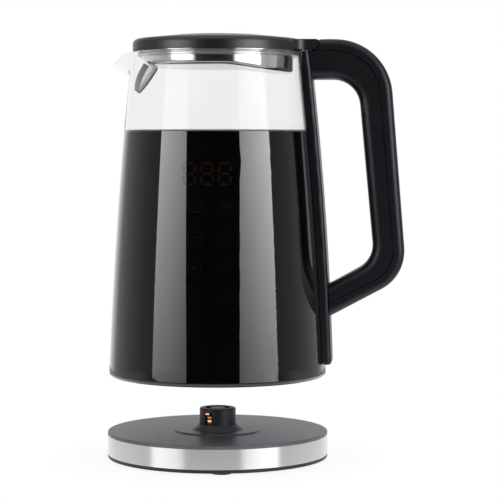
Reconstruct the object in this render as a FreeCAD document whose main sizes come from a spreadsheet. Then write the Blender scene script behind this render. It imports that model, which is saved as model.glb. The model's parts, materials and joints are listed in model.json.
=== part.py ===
import FreeCAD, Part
import os
import re
import Sketcher

# Driving dimensions in millimetres and degrees. Kettle heights start at the kettle's own underside.
SIZES = {
    # power base
    "foot_height": 1.0,
    "foot_radius": 7.0,
    "foot_inset": 9.0,
    "foot_angle": -82.0,
    "pad_radius": 20.0,
    "base_radius": 76.0,
    "base_rim_height": 2.5,
    "base_rim_wall": 3.2,
    "base_floor": 2.0,
    "band_height": 13.4,
    "band_wall": 0.8,
    "base_lip": 2.2,
    "base_edge_round": 0.8,
    "disc_radius": 30.0,
    "disc_step": 0.8,
    "collar_radius": 18.4,
    "collar_height": 4.2,
    "collar_lip": 0.5,
    "base_screw_inset": 24.0,
    "base_screw_angle": -30.0,
    "boss_radius": 4.5,
    "gland_radius": 4.5,
    "gland_fit": 0.2,
    "gland_flange": 6.0,
    "gland_depth": 7.0,
    "gland_proud": 1.2,
    "gland_flange_depth": 2.0,
    "gland_flange_gap": 0.4,
    "cord_bore": 3.2,
    # connector tower
    "plug_radius": 12.5,
    "plug_fit": 0.3,
    "plug_height": 15.6,
    "plug_flange": 17.0,
    "plug_flange_height": 2.0,
    "plug_round": 1.0,
    "plug_cap_drop": 0.25,
    "plug_slot_inner": 5.2,
    "plug_slot_outer": 8.6,
    "plug_slot_depth": 8.8,
    "pin_hole_radius": 2.4,
    "window_low": 4.4,
    "window_height": 9.0,
    "window_width": 6.0,
    "window_depth": 2.2,
    "window_angle": -114.5,
    "contact_thickness": 1.4,
    "contact_margin": 0.8,
    # kettle body
    "lift_height": 38.2,
    "bottom_radius": 74.8,
    "edge_round": 2.5,
    "edge_height": 3.0,
    "profile_radius": 3500.0,
    "waist_radius": 64.1,
    "waist_height": 168.0,
    "shell_wall": 2.2,
    "shell_flange_width": 6.9,
    "gasket_height": 0.8,
    # glass jug
    "rim_radius": 58.9,
    "rim_height": 221.5,
    "glass_wall": 3.0,
    "tube_inset": 7.7,
    "tube_flare": 2.2,
    "tube_foot": 27.4,
    "tube_wall": 2.8,
    "neck_inset": 2.4,
    "neck_depth": 3.8,
    "neck_taper": 11.5,
    "shoulder_rise": 2.0,
    # pouring lip
    "lip_span": 13.9,
    "lip_middle_span": 5.1,
    "lip_root_inset": 8.9,
    "lip_root_depth": 21.0,
    "lip_root_half": 24.0,
    "lip_root_keel": 6.0,
    "lip_middle_depth": 13.3,
    "lip_middle_drop": 1.9,
    "lip_middle_half": 12.5,
    "lip_middle_keel": 4.6,
    "lip_tip_depth": 10.2,
    "lip_tip_drop": 7.1,
    "lip_tip_half": 4.6,
    "lip_tip_keel": 3.2,
    "lip_wall": 2.0,
    # heater stack
    "plate_lip": 3.2,
    "plate_thickness": 1.0,
    "plate_cup_height": 7.0,
    "plate_cup_wall": 0.8,
    "seal_bite": 2.7,
    "seal_height": 2.4,
    "seal_fit": 0.1,
    "diffuser_gap": 0.9,
    "diffuser_thickness": 2.8,
    "element_inset": 8.2,
    "element_radius": 3.3,
    "element_start_angle": 30.0,
    "element_sweep_angle": 300.0,
    "cutout_inset": 18.2,
    "cutout_angle": 90.0,
    "cutout_radius": 5.4,
    "cutout_height": 6.0,
    "sensor_inset": 7.1,
    "sensor_radius": 2.4,
    "sensor_fit": 0.2,
    "sensor_boss_gap": 0.8,
    "sensor_proud": 7.0,
    "sensor_flange": 4.4,
    "sensor_flange_height": 1.4,
    "sensor_seal_height": 1.6,
    "chassis_wall": 3.4,
    "boss_inset": 6.4,
    "boss_angle": 90.0,
    "boss_height": 11.0,
    # underside
    "cover_fit": 0.4,
    "cover_low": 0.8,
    "cover_thickness": 2.4,
    "stand_ring_width": 4.0,
    "mouth_gap": 0.8,
    "socket_flange_width": 7.0,
    "socket_flange_height": 2.0,
    "socket_wall": 3.3,
    "socket_funnel_width": 3.1,
    "socket_funnel_height": 3.0,
    "plug_gap": 1.2,
    "roof_gap": 1.8,
    "socket_roof": 3.4,
    "ring_gap": 1.1,
    "ring_floor_gap": 2.6,
    "ring_seat": 2.2,
    "ring_fit": 0.3,
    # screws
    "screw_radius": 1.5,
    "screw_head_radius": 2.8,
    "screw_head_height": 1.6,
    "screw_length": 9.0,
    "screw_fit": 0.2,
    "slot_width": 0.8,
    "slot_depth": 0.7,
    # control boards
    "board_half_width": 20.0,
    "board_inset": 7.8,
    "board_depth": 20.0,
    "board_thickness": 1.6,
    "board_post": 3.2,
    "board_post_radius": 2.6,
    "board_post_spread": 13.0,
    "relay_width": 15.0,
    "relay_depth": 10.0,
    "relay_height": 7.6,
    "relay_margin": 1.0,
    # display stack
    "display_drop": 16.0,
    "display_height": 102.0,
    "display_angle": 40.0,
    "display_gap": 0.4,
    "carrier_fit": 0.3,
    "carrier_wall": 1.2,
    "carrier_flange": 1.6,
    "layer_gap": 0.1,
    "panel_thickness": 0.9,
    "digits_drop": 4.0,
    "digits_height": 19.0,
    "digits_angle": 34.0,
    "digits_thickness": 1.5,
    "touch_drop": 3.0,
    "touch_margin": 4.0,
    "touch_thickness": 0.5,
    # handle
    "handle_width": 28.0,
    "spine_width": 30.0,
    "spine_foot": 9.0,
    "spine_foot_depth": 4.5,
    "spine_head_rise": 0.9,
    "spine_head_depth": 4.9,
    "spine_fit": 0.3,
    "spine_round": 3.0,
    "spine_radius": 2475.0,
    "seat_gap": 0.05,
    "tongue_gap": 0.5,
    "handle_top_rise": 6.9,
    "handle_top_span": 58.3,
    "handle_low_span": 55.2,
    "handle_low": 69.8,
    "handle_foot": 42.2,
    "handle_top_round": 39.0,
    "handle_low_round": 29.0,
    "cover_depth": 7.6,
    "cover_low_shift": 4.2,
    "cover_foot_depth": 8.6,
    "cover_round": 4.5,
    "seam_gap": 0.4,
    "rib_depth": 2.0,
    "rib_width": 6.0,
    "grip_roof_depth": 27.0,
    "grip_top_depth": 20.6,
    "grip_low_depth": 22.0,
    "grip_floor_depth": 11.0,
    "grip_foot_depth": 21.6,
    "grip_top_round": 19.0,
    "grip_low_round": 18.5,
    "grip_edge_round": 7.0,
    "grip_wall": 3.6,
    "grip_foot_wall": 7.2,
    "grip_side_wall": 4.0,
    "lower_screw_height": 30.0,
    "upper_screw_height": 136.0,
    "handle_screw_length": 6.0,
    # lid release button
    "button_inset": 2.9,
    "button_length": 17.0,
    "button_width": 15.0,
    "button_fit": 0.3,
    "button_proud": 0.2,
    "button_flange": 1.2,
    "button_flange_height": 1.2,
    "button_stop_gap": 0.3,
    "spring_radius": 3.0,
    "spring_wire": 0.45,
    # hinge
    "pin_offset": 9.1,
    "pin_radius": 1.2,
    "pin_fit": 0.2,
    "pin_bite": 4.0,
    "knuckle_radius": 2.6,
    "lug_width": 17.0,
    "lug_gap": 0.5,
    "lug_ease": 0.2,
    "lug_round": 2.3,
    "tongue_width": 29.0,
    "seam_angle": 50.0,
    # lid
    "lid_inset": 0.9,
    "lid_gap": 2.1,
    "lid_side_height": 7.2,
    "lid_dome": 3.0,
    "lid_edge_round": 3.6,
    "lid_wall": 2.4,
    "lid_crown_inset": 28.0,
    "lid_plate_thickness": 2.0,
    "lid_plate_fit": 0.2,
    "lid_screw_inset": 28.0,
    "lid_screw_angle": 60.0,
    "lid_screw_length": 5.0,
    "lid_boss_radius": 3.6,
    "liner_gap": 3.7,
    "liner_wall": 0.8,
    "liner_hinge_depth": 16.2,
    "liner_spout_depth": 9.4,
    "liner_facet_width": 7.7,
    "liner_facet_drop": 2.0,
    "lid_seal_gap": 0.5,
    "lid_seal_drop": 0.1,
    "lid_seal_height": 2.8,
    "lid_seal_taper": 0.8,
    # spout strainer
    "strainer_inset": 2.2,
    "strainer_drop": 26.1,
    "strainer_angle": 25.0,
    "strainer_height": 21.6,
    "strainer_half": 19.0,
    "strainer_tip_half": 4.0,
    "strainer_tip_round": 3.0,
    "strainer_band": 2.4,
    "strainer_side_band": 3.1,
    "strainer_tip_band": 1.2,
    "strainer_depth": 2.6,
    "strainer_bar": 2.2,
    "strainer_bar_half": 27.6,
    "mesh_thickness": 0.5,
    "mesh_slot": 1.2,
    "mesh_pitch": 2.4,
    "mesh_slot_low": 9.0,
    "mesh_slot_high": 17.6,
}

# Sizes that follow from the driving ones, so that pieces which fit each other change together
FITS = {
    # power base and connector
    "kettle_rise": "foot_height + base_rim_height + band_height + base_lip + lift_height",
    "foot_circle": "base_radius - foot_inset",
    "base_screw_circle": "base_radius - base_screw_inset",
    "socket_well": "plug_radius + plug_gap",
    "socket_funnel": "socket_well + socket_funnel_width",
    "socket_radius": "socket_well + socket_wall",
    "socket_flange": "socket_radius + socket_flange_width",
    "socket_roof_low": "plug_height + roof_gap",
    "cover_mouth": "collar_radius + mouth_gap",
    "ring_inner": "plug_slot_inner + ring_gap",
    "ring_outer": "plug_slot_outer - ring_gap",
    "ring_low": "plug_height - plug_slot_depth + ring_floor_gap",
    # body, jug and heater stack
    "shell_flange": "bottom_radius - shell_flange_width",
    "cover_radius": "shell_flange - cover_fit",
    "tube_top_radius": "waist_radius - tube_inset",
    "tube_foot_radius": "tube_top_radius + tube_flare",
    "neck_radius": "waist_radius - neck_inset",
    "neck_high": "waist_height + gasket_height - neck_depth",
    "neck_low": "neck_high - neck_taper",
    "plate_radius": "tube_foot_radius + plate_lip",
    "seal_inner": "tube_foot_radius - seal_bite",
    "sensor_circle": "tube_foot_radius - sensor_inset",
    "sensor_low": "cover_low + cover_thickness + boss_height + sensor_boss_gap",
    "diffuser_radius": "sensor_circle - sensor_flange - diffuser_gap",
    "element_circle": "diffuser_radius - element_inset",
    "cutout_circle": "diffuser_radius - cutout_inset",
    "boss_circle": "plate_radius - boss_inset",
    "board_far": "plate_radius - board_inset",
    "board_near": "board_far - board_depth",
    # display
    "display_high": "waist_height - display_drop",
    "display_low": "display_high - display_height",
    "digits_high": "display_high - digits_drop",
    "digits_low": "digits_high - digits_height",
    "touch_high": "digits_low - touch_drop",
    "touch_low": "display_low + touch_margin",
    "stack_depth": "carrier_wall + panel_thickness + digits_thickness + 2 * layer_gap + display_gap",
    # lid, lip and strainer
    "lid_low": "rim_height + lid_gap",
    "lid_shoulder": "lid_low + lid_side_height",
    "lid_top": "lid_shoulder + lid_dome",
    "lid_radius": "rim_radius - lid_inset",
    "lid_crown": "lid_radius - lid_crown_inset",
    "lid_screw_circle": "lid_radius - lid_screw_inset",
    "liner_radius": "rim_radius - glass_wall - liner_gap",
    "liner_low_hinge": "lid_low - liner_hinge_depth",
    "liner_low_spout": "lid_low - liner_spout_depth",
    "liner_facet_reach": "liner_radius - liner_facet_width",
    "lid_seal_high": "rim_height - lid_seal_drop",
    "lid_seal_reach": "rim_radius - glass_wall - lid_seal_gap",
    "lip_reach": "rim_radius + lip_span",
    "lip_middle": "rim_radius + lip_middle_span",
    "lip_root": "rim_radius - lip_root_inset",
    "lip_root_low": "rim_height - lip_root_depth",
    "lip_middle_low": "rim_height - lip_middle_depth",
    "lip_middle_high": "rim_height - lip_middle_drop",
    "lip_tip_low": "rim_height - lip_tip_depth",
    "lip_tip_high": "rim_height - lip_tip_drop",
    "strainer_reach": "rim_radius - strainer_inset",
    "strainer_low": "rim_height - strainer_drop",
    # hinge and handle
    "pin_reach": "rim_radius + pin_offset",
    "spine_foot_reach": "bottom_radius + spine_foot_depth",
    "spine_head": "rim_height + spine_head_rise",
    "spine_head_reach": "rim_radius + spine_head_depth",
    "handle_top": "lid_low + handle_top_rise",
    "pin_height": "handle_top - knuckle_radius",
    "tongue_end": "pin_reach + knuckle_radius / tan(seam_angle / 2)",
    "tongue_depth": "pin_height - lid_low",
    "tongue_foot": "pin_reach + knuckle_radius / sin(seam_angle) - tongue_depth / tan(seam_angle)",
    "seat_radius": "knuckle_radius + tongue_gap",
    "seat_drop": "seat_radius * (1 - sin(seam_angle)) / cos(seam_angle)",
    "seat_depth": "cover_depth - knuckle_radius",
    "seat_foot": "pin_reach + seat_radius / sin(seam_angle) - seat_depth / tan(seam_angle)",
    "handle_start": "pin_reach + seat_radius",
    "handle_top_reach": "rim_radius + handle_top_span",
    "handle_low_reach": "bottom_radius + handle_low_span",
    "grip_top": "handle_top - grip_roof_depth",
    "grip_top_reach": "handle_top_reach - grip_top_depth",
    "grip_low_reach": "handle_low_reach - grip_low_depth",
    "grip_low": "handle_low + grip_floor_depth",
    "grip_foot": "handle_foot + grip_foot_depth",
    "button_start": "handle_start + button_inset",
}

# How many of each repeated detail there are
FEET = 3
SCREWS = 3
CONTACTS = 2
CUTOUTS = 2
SPRING_TURNS = 5
MESH_SLOTS = 5

FULL_TURN = 360.0
TOUCH = 0.01

doc = FreeCAD.newDocument("Kettle")
sheet = doc.addObject("Spreadsheet::Sheet", "Sizes")
cells = {alias: str(value) for alias, value in SIZES.items()}
cells.update({alias: f"={formula}" for alias, formula in FITS.items()})
for row, (alias, content) in enumerate(cells.items(), start=1):
    sheet.setAlias(f"A{row}", alias)
    sheet.set(f"A{row}", content)
doc.recompute()

NODES = []


# Sheet access
def bound(text):
    """Write an expression of size names as one that reads the sheet."""
    return re.sub(r"[a-z_]+", lambda m: "Sizes." + m.group() if m.group() in cells else m.group(), text)


def number(text):
    return float(sheet.evalExpression(bound(text)))


def bind(item, **formulas):
    """Bind properties to the sheet; a double underscore stands for a dot in the property's path."""
    for path, text in formulas.items():
        item.setExpression(path.replace("__", "."), bound(text))


def at_height(text):
    """Height in the row's frame of a height given from the kettle's underside."""
    return f"kettle_rise + {text}"


# Derived sizes that several pieces share
FLOOR_HIGH = "foot_height + base_floor"
BAND_LOW = "foot_height + base_rim_height"
BAND_HIGH = f"{BAND_LOW} + band_height"
BASE_TOP = f"{BAND_HIGH} + base_lip"
PLATE_HIGH = "tube_foot - seal_height"
PLATE_LOW = f"{PLATE_HIGH} - plate_thickness"
COVER_HIGH = "cover_low + cover_thickness"
GASKET_HIGH = "waist_height + gasket_height"


def between(low_across, low_up, high_across, high_up, up):
    """Distance from the axis, at a height, of the straight run between two points."""
    slope = f"({high_across} - ({low_across})) / ({high_up} - ({low_up}))"
    return f"{low_across} + ({up} - ({low_up})) * {slope}"


def spine_face(up):
    """Distance from the axis, at a height, of the handle's seat on the curved face of the spine."""
    chord = between("spine_foot_reach", "spine_foot", "spine_head_reach", "spine_head", up)
    bulge = f"({up} - spine_foot) * (spine_head - ({up})) / (2 * spine_radius)"
    return f"{chord} + {bulge} + seat_gap"


def shell_inside(up):
    return between("bottom_radius - shell_wall", "edge_height", "waist_radius - shell_wall",
                   "waist_height", up)


# Sketches
class Corner:
    """A corner of an outline; the run that ends here may be an arc, bulging right (1) or left (-1)."""

    def __init__(self, across, up, round=None, arc=None, bulge=1):
        self.across = across
        self.up = up
        self.round = round
        self.arc = arc
        self.bulge = bulge


def arc_centre(start, end, radius, bulge):
    chord = end - start
    middle = (start + end) * 0.5
    reach = (radius ** 2 - (chord.Length / 2) ** 2) ** 0.5
    left = FreeCAD.Vector(-chord.y, chord.x, 0).normalize()
    return middle + left * reach * bulge


def outline(sketch, corners):
    """Draw a closed outline in a sketch and bind it; returns the runs to the corners and their rounds."""
    first_shape = sketch.GeometryCount
    first_rule = sketch.ConstraintCount
    spots = [FreeCAD.Vector(number(c.across), number(c.up), 0) for c in corners]
    shapes = []
    rules = []
    bound_rules = []

    def rule(*parts, text=None):
        rules.append(Sketcher.Constraint(*parts))
        if text:
            bound_rules.append((first_rule + len(rules) - 1, text))

    rounds = {}
    enter = []
    leave = []
    for index, corner in enumerate(corners):
        spot = spots[index]
        if corner.round is None:
            enter.append(spot)
            leave.append(spot)
            continue
        back = (spots[index - 1] - spot).normalize()
        ahead = (spots[(index + 1) % len(spots)] - spot).normalize()
        cosine = back.dot(ahead)
        setback = number(corner.round) * ((1 + cosine) / (1 - cosine)) ** 0.5
        enter.append(spot + back * setback)
        leave.append(spot + ahead * setback)

    runs = []
    for index, corner in enumerate(corners):
        start = leave[index - 1]
        end = enter[index]
        if corner.arc:
            radius = number(corner.arc)
            centre = arc_centre(start, end, radius, corner.bulge)
            circle = Part.Circle(centre, FreeCAD.Vector(0, 0, 1), radius)
            first, last = (start, end) if corner.bulge > 0 else (end, start)
            shapes.append(Part.ArcOfCircle(circle, circle.parameter(first), circle.parameter(last)))
            ends = (1, 2) if corner.bulge > 0 else (2, 1)
        else:
            shapes.append(Part.LineSegment(start, end))
            ends = (1, 2)
        runs.append((first_shape + len(shapes) - 1, ends[0], ends[1]))
        if corner.arc:
            rule("Radius", runs[-1][0], radius, text=corner.arc)

    for index, corner in enumerate(corners):
        run, _, run_end = runs[index]
        after, after_start, _ = runs[(index + 1) % len(runs)]
        if corner.round is None:
            rule("Coincident", run, run_end, after, after_start)
            point, place = run, run_end
        else:
            radius = number(corner.round)
            turn = (spots[index] - spots[index - 1]).cross(spots[(index + 1) % len(spots)] - spots[index]).z
            bulge = 1 if turn > 0 else -1
            centre = arc_centre(enter[index], leave[index], radius, bulge)
            circle = Part.Circle(centre, FreeCAD.Vector(0, 0, 1), radius)
            first, last = (enter[index], leave[index]) if bulge > 0 else (leave[index], enter[index])
            shapes.append(Part.ArcOfCircle(circle, circle.parameter(first), circle.parameter(last)))
            arc = first_shape + len(shapes) - 1
            rounds[index] = arc
            ends = (1, 2) if bulge > 0 else (2, 1)
            rule("Tangent", run, run_end, arc, ends[0])
            rule("Tangent", after, after_start, arc, ends[1])
            rule("Radius", arc, radius, text=corner.round)
            shapes.append(Part.Point(spots[index]))
            point, place = first_shape + len(shapes) - 1, 1
            rule("PointOnObject", point, place, run)
            rule("PointOnObject", point, place, after)
        for axis, value, text, line in (("DistanceX", spots[index].x, corner.across, -2),
                                        ("DistanceY", spots[index].y, corner.up, -1)):
            if text == "0":
                rule("PointOnObject", point, place, line)
            else:
                rule(axis, -1, 1, point, place, value, text=text)
    sketch.addGeometry(shapes, False)
    for index, shape in enumerate(shapes, start=first_shape):
        if isinstance(shape, Part.Point):
            sketch.setConstruction(index, True)
    sketch.addConstraint(rules)
    for index, text in bound_rules:
        sketch.setExpression(f"Constraints[{index}]", bound(text))
    return [run for run, _, _ in runs], rounds


# Features
def make_body(label, rise=None):
    body = doc.addObject("PartDesign::Body", label)
    if rise:
        bind(body, Placement__Base__z=rise)
    return body


def sketch_on(body, role, offset=None):
    sketch = body.newObject("Sketcher::SketchObject", f"{body.Name}_sketch")
    plane = next(item for item in body.Origin.OriginFeatures if item.Role == role)
    sketch.AttachmentSupport = [(plane, "")]
    sketch.MapMode = "FlatFace"
    if offset:
        bind(sketch, AttachmentOffset__Base__z=offset)
    return sketch


def turned(body, kind, corners, role="XZ_Plane", angle=None):
    """Turn an outline about the upright axis, adding or removing material."""
    sketch = sketch_on(body, role)
    outline(sketch, corners)
    feature = body.newObject(kind, f"{body.Name}_turned")
    feature.Profile = sketch
    feature.ReferenceAxis = (sketch, ["V_Axis"])
    feature.Angle = FULL_TURN
    if angle:
        feature.Midplane = True
        bind(feature, Angle=angle)
    return feature


def lathe(label, corners, rise=None):
    body = make_body(label, rise)
    turned(body, "PartDesign::Revolution", corners)
    return body


def sector(label, corners, angle, rise):
    """A wall that follows the front of the kettle over an angle."""
    body = make_body(label, rise)
    turned(body, "PartDesign::Revolution", corners, "YZ_Plane", angle)
    return body


def straight(body, kind, corners, width, role="XZ_Plane", offset=None):
    """Pad or pocket an outline to both sides of its plane; returns its feature, sketch, runs and rounds."""
    sketch = sketch_on(body, role, offset)
    runs, rounds = outline(sketch, corners)
    feature = body.newObject(kind, f"{body.Name}_straight")
    feature.Profile = sketch
    feature.SideType = "Symmetric"
    bind(feature, Length=width)
    return feature, sketch, runs, rounds


def drilled(body, across, up, radius, width):
    """Drill a round hole along the Y axis, as far to each side as half the width."""
    sketch = sketch_on(body, "XZ_Plane")
    spot = FreeCAD.Vector(number(across), number(up), 0)
    sketch.addGeometry(Part.Circle(spot, FreeCAD.Vector(0, 0, 1), number(radius)), False)
    sketch.addConstraint([
        Sketcher.Constraint("Radius", 0, number(radius)),
        Sketcher.Constraint("DistanceX", -1, 1, 0, 3, spot.x),
        Sketcher.Constraint("DistanceY", -1, 1, 0, 3, spot.y),
    ])
    for index, text in enumerate((radius, across, up)):
        sketch.setExpression(f"Constraints[{index}]", bound(text))
    feature = body.newObject("PartDesign::Pocket", f"{body.Name}_hole")
    feature.Profile = sketch
    feature.SideType = "Symmetric"
    bind(feature, Length=width)


def round_rim(body, feature, sketch, runs, width, radius):
    """Round the two long edges of a pad over some of its runs."""
    doc.recompute()
    half = number(width) / 2
    wanted = []
    for run in runs:
        curve = sketch.Geometry[run]
        spot = curve.value((curve.FirstParameter + curve.LastParameter) / 2)
        wanted += [FreeCAD.Vector(spot.x, side, spot.y) for side in (-half, half)]
    names = []
    for index, edge in enumerate(feature.Shape.Edges, start=1):
        middle = edge.valueAt((edge.FirstParameter + edge.LastParameter) / 2)
        if any(middle.distanceToPoint(spot) < TOUCH for spot in wanted):
            names.append(f"Edge{index}")
    rounded = body.newObject("PartDesign::Fillet", f"{body.Name}_round")
    rounded.Base = (feature, names)
    bind(rounded, Radius=radius)


def rectangle(left, low, right, high):
    return [Corner(left, low), Corner(right, low), Corner(right, high), Corner(left, high)]


# Primitives and groups
UPRIGHT = FreeCAD.Rotation()
ALONG_X = FreeCAD.Rotation(FreeCAD.Vector(0, 1, 0), 90)
ALONG_Y = FreeCAD.Rotation(FreeCAD.Vector(1, 0, 0), -90)


def cylinder(label, radius, height, x="0", y="0", z="0", turn=UPRIGHT):
    item = doc.addObject("Part::Cylinder", label)
    item.Placement = FreeCAD.Placement(FreeCAD.Vector(), turn)
    bind(item, Radius=radius, Height=height, Placement__Base__x=x, Placement__Base__y=y, Placement__Base__z=z)
    return item


def block(label, length, width, height, x, y, z, turn=UPRIGHT):
    item = doc.addObject("Part::Box", label)
    item.Placement = FreeCAD.Placement(FreeCAD.Vector(), turn)
    bind(item, Length=length, Width=width, Height=height)
    bind(item, Placement__Base__x=x, Placement__Base__y=y, Placement__Base__z=z)
    return item


def fuse(label, items):
    joined = doc.addObject("Part::MultiFuse", label)
    joined.Shapes = items
    return joined


def group(label, items):
    gathered = doc.addObject("Part::Compound", label)
    gathered.Links = items
    return gathered


def cut(label, base, tools):
    tool = tools[0] if len(tools) == 1 else fuse(f"{label}_tools", tools)
    rest = doc.addObject("Part::Cut", label)
    rest.Base = base
    rest.Tool = tool
    return rest


def around(circle, count, start):
    """Places spread evenly around the upright axis, as pairs of expressions."""
    turns = [f"{start} + {FULL_TURN * index / count}" for index in range(count)]
    return [(f"{circle} * cos({turn})", f"{circle} * sin({turn})") for turn in turns]


def screw(label, x, y, z, turn=UPRIGHT, length="screw_length"):
    """A slotted screw whose head starts at the given place; its shank follows the turned axis."""
    along = turn.multVec(FreeCAD.Vector(0, 0, 1))
    shank_start = [f"{text} + {abs(round(step))} * screw_head_height" for text, step in zip((x, y, z), along)]
    head = cylinder(f"{label}_head", "screw_head_radius", "screw_head_height", x, y, z, turn)
    shank = cylinder(f"{label}_shank", "screw_radius", length, *shank_start, turn)
    whole = fuse(f"{label}_whole", [head, shank])
    if turn is UPRIGHT:
        slot = block(f"{label}_slot", "2 * screw_head_radius", "slot_width", "slot_depth",
                     f"{x} - screw_head_radius", f"{y} - slot_width / 2", z)
    else:
        slot = block(f"{label}_slot", "slot_depth", "slot_width", "2 * screw_head_radius",
                     x, f"{y} - slot_width / 2", f"{z} - screw_head_radius")
    return cut(label, whole, [slot])


def screw_bores(label, places, z, length="screw_length"):
    """Clearance for screws whose heads start at a height: head recesses and shank bores."""
    tools = []
    for index, (x, y) in enumerate(places):
        tools.append(cylinder(f"{label}_recess{index}", "screw_head_radius + screw_fit",
                              "screw_head_height", x, y, z))
        tools.append(cylinder(f"{label}_bore{index}", "screw_radius + screw_fit",
                              f"screw_head_height + {length} + screw_fit", x, y, z))
    return tools


def keep(item, label):
    item.Label = label
    NODES.append(item)
    return item


# Power base
def base_pieces():
    feet = []
    for index, (x, y) in enumerate(around("foot_circle", FEET, "foot_angle")):
        feet.append(cylinder(f"foot{index}", "foot_radius", "foot_height", x, y))
    keep(group("feet_group", feet), "base_feet")

    screw_places = around("base_screw_circle", SCREWS, "base_screw_angle")
    floor = lathe("bottom_tray", [
        Corner("0", "0"),
        Corner("pad_radius", "0"),
        Corner("pad_radius", "foot_height"),
        Corner("base_radius", "foot_height", round="base_edge_round"),
        Corner("base_radius", BAND_LOW),
        Corner("base_radius - base_rim_wall", BAND_LOW),
        Corner("base_radius - base_rim_wall", FLOOR_HIGH),
        Corner("0", FLOOR_HIGH),
    ])
    keep(cut("base_bottom", floor, screw_bores("base_floor_bores", screw_places, "foot_height")),
         "base_bottom")

    ring = lathe("band_ring", [
        Corner("base_radius - band_wall", BAND_LOW),
        Corner("base_radius", BAND_LOW),
        Corner("base_radius", BAND_HIGH),
        Corner("base_radius - band_wall", BAND_HIGH),
    ])
    gland_height = f"{BAND_LOW} + band_height / 2"
    exit_bore = cylinder("band_exit", "gland_radius + gland_fit", "base_radius", "0", "0", gland_height,
                         ALONG_Y)
    keep(cut("base_band", ring, [exit_bore]), "base_band")

    plate = lathe("top_plate", [
        Corner("plug_radius + plug_fit", BAND_HIGH),
        Corner("base_radius", BAND_HIGH),
        Corner("base_radius", BASE_TOP, round="base_edge_round"),
        Corner("disc_radius + disc_step", BASE_TOP),
        Corner("disc_radius", f"{BASE_TOP} + disc_step"),
        Corner("collar_radius", f"{BASE_TOP} + disc_step"),
        Corner("plug_radius + plug_fit + collar_lip", f"{BASE_TOP} + collar_height"),
        Corner("plug_radius + plug_fit", f"{BASE_TOP} + collar_height"),
    ])
    bosses = []
    for index, (x, y) in enumerate(screw_places):
        bosses.append(cylinder(f"base_boss{index}", "boss_radius", f"{BAND_HIGH} - ({FLOOR_HIGH})", x, y,
                               FLOOR_HIGH))
    solid = fuse("top_with_bosses", [plate] + bosses)
    keep(cut("base_top", solid, screw_bores("base_top_bores", screw_places, "foot_height")), "base_top")

    screws = [screw(f"base_screw{i}", x, y, "foot_height") for i, (x, y) in enumerate(screw_places)]
    keep(group("base_screw_group", screws), "base_screws")

    gland_start = "base_radius - band_wall - gland_depth"
    sleeve = cylinder("gland_sleeve", "gland_radius", "gland_depth + band_wall + gland_proud",
                      "0", gland_start, gland_height, ALONG_Y)
    flange_start = "base_radius - band_wall - gland_flange_depth - gland_flange_gap"
    flange = cylinder("gland_collar", "gland_flange", "gland_flange_depth", "0", flange_start,
                      gland_height, ALONG_Y)
    bore = cylinder("gland_bore", "cord_bore", "base_radius", "0", "base_radius / 2", gland_height, ALONG_Y)
    keep(cut("cord_gland", fuse("gland_whole", [sleeve, flange]), [bore]), "cord_gland")


# Connector tower
def plug_block(label, turn, depth, half, low, height):
    """A block that starts at the floor of one of the tower's side windows and points outwards."""
    floor = "(plug_radius - window_depth)"
    item = block(label, depth, f"2 * {half}", height, f"{floor} * cos({turn}) + {half} * sin({turn})",
                 f"{floor} * sin({turn}) - {half} * cos({turn})", f"{BASE_TOP} + {low}")
    item.Placement.Rotation = FreeCAD.Rotation(FreeCAD.Vector(0, 0, 1), number(turn))
    bind(item, Placement__Rotation__Angle=turn)
    return item


def plug_pieces():
    top = f"{BASE_TOP} + plug_height"
    tower = lathe("plug_tower", [
        Corner("pin_hole_radius", f"{BAND_HIGH} - plug_flange_height"),
        Corner("plug_flange", f"{BAND_HIGH} - plug_flange_height"),
        Corner("plug_flange", BAND_HIGH),
        Corner("plug_radius", BAND_HIGH),
        Corner("plug_radius", top, round="plug_round"),
        Corner("plug_slot_outer", top),
        Corner("plug_slot_outer", f"{top} - plug_slot_depth"),
        Corner("plug_slot_inner", f"{top} - plug_slot_depth"),
        Corner("plug_slot_inner", f"{top} - plug_round"),
        Corner("pin_hole_radius", f"{top} - plug_round"),
    ])
    windows = []
    contacts = []
    for index in range(CONTACTS):
        turn = f"(window_angle + {FULL_TURN * index / CONTACTS})"
        windows.append(plug_block(f"plug_window{index}", turn, "plug_radius", "window_width / 2",
                                  "window_low", "window_height"))
        contacts.append(plug_block(f"plug_contact{index}", turn, "contact_thickness",
                                   "(window_width / 2 - contact_margin)", "window_low + contact_margin",
                                   "window_height - 2 * contact_margin"))
    keep(cut("base_plug", tower, windows), "base_plug")
    keep(group("contact_group", contacts), "plug_contacts")
    keep(lathe("plug_cap", [
        Corner("0", f"{top} - plug_round"),
        Corner("plug_slot_inner", f"{top} - plug_round"),
        Corner("plug_slot_inner", f"{top} - plug_cap_drop"),
        Corner("0", f"{top} - plug_cap_drop"),
    ]), "plug_centre")


# Kettle body
def shell_pieces():
    shell = lathe("outer_shell", [
        Corner("shell_flange", "0"),
        Corner("bottom_radius", "0", round="edge_round"),
        Corner("bottom_radius", "edge_height"),
        Corner("waist_radius", "waist_height", arc="profile_radius"),
        Corner("waist_radius - shell_wall", "waist_height"),
        Corner("bottom_radius - shell_wall", "edge_height"),
        Corner("bottom_radius - shell_wall", "shell_wall"),
        Corner("shell_flange", "shell_wall"),
    ], "kettle_rise")
    bores = []
    for index, up in enumerate(("lower_screw_height", "upper_screw_height")):
        bores.append(cylinder(f"shell_bore{index}", "screw_radius + screw_fit", "bottom_radius",
                              "bottom_radius / 2", "0", at_height(up), ALONG_X))
    keep(cut("body_shell", shell, bores), "body_shell")
    keep(lathe("gasket", [
        Corner("neck_radius + seal_fit", "waist_height"),
        Corner("waist_radius", "waist_height"),
        Corner("waist_radius", GASKET_HIGH),
        Corner("neck_radius + seal_fit", GASKET_HIGH),
    ], "kettle_rise"), "shell_gasket")


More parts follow.
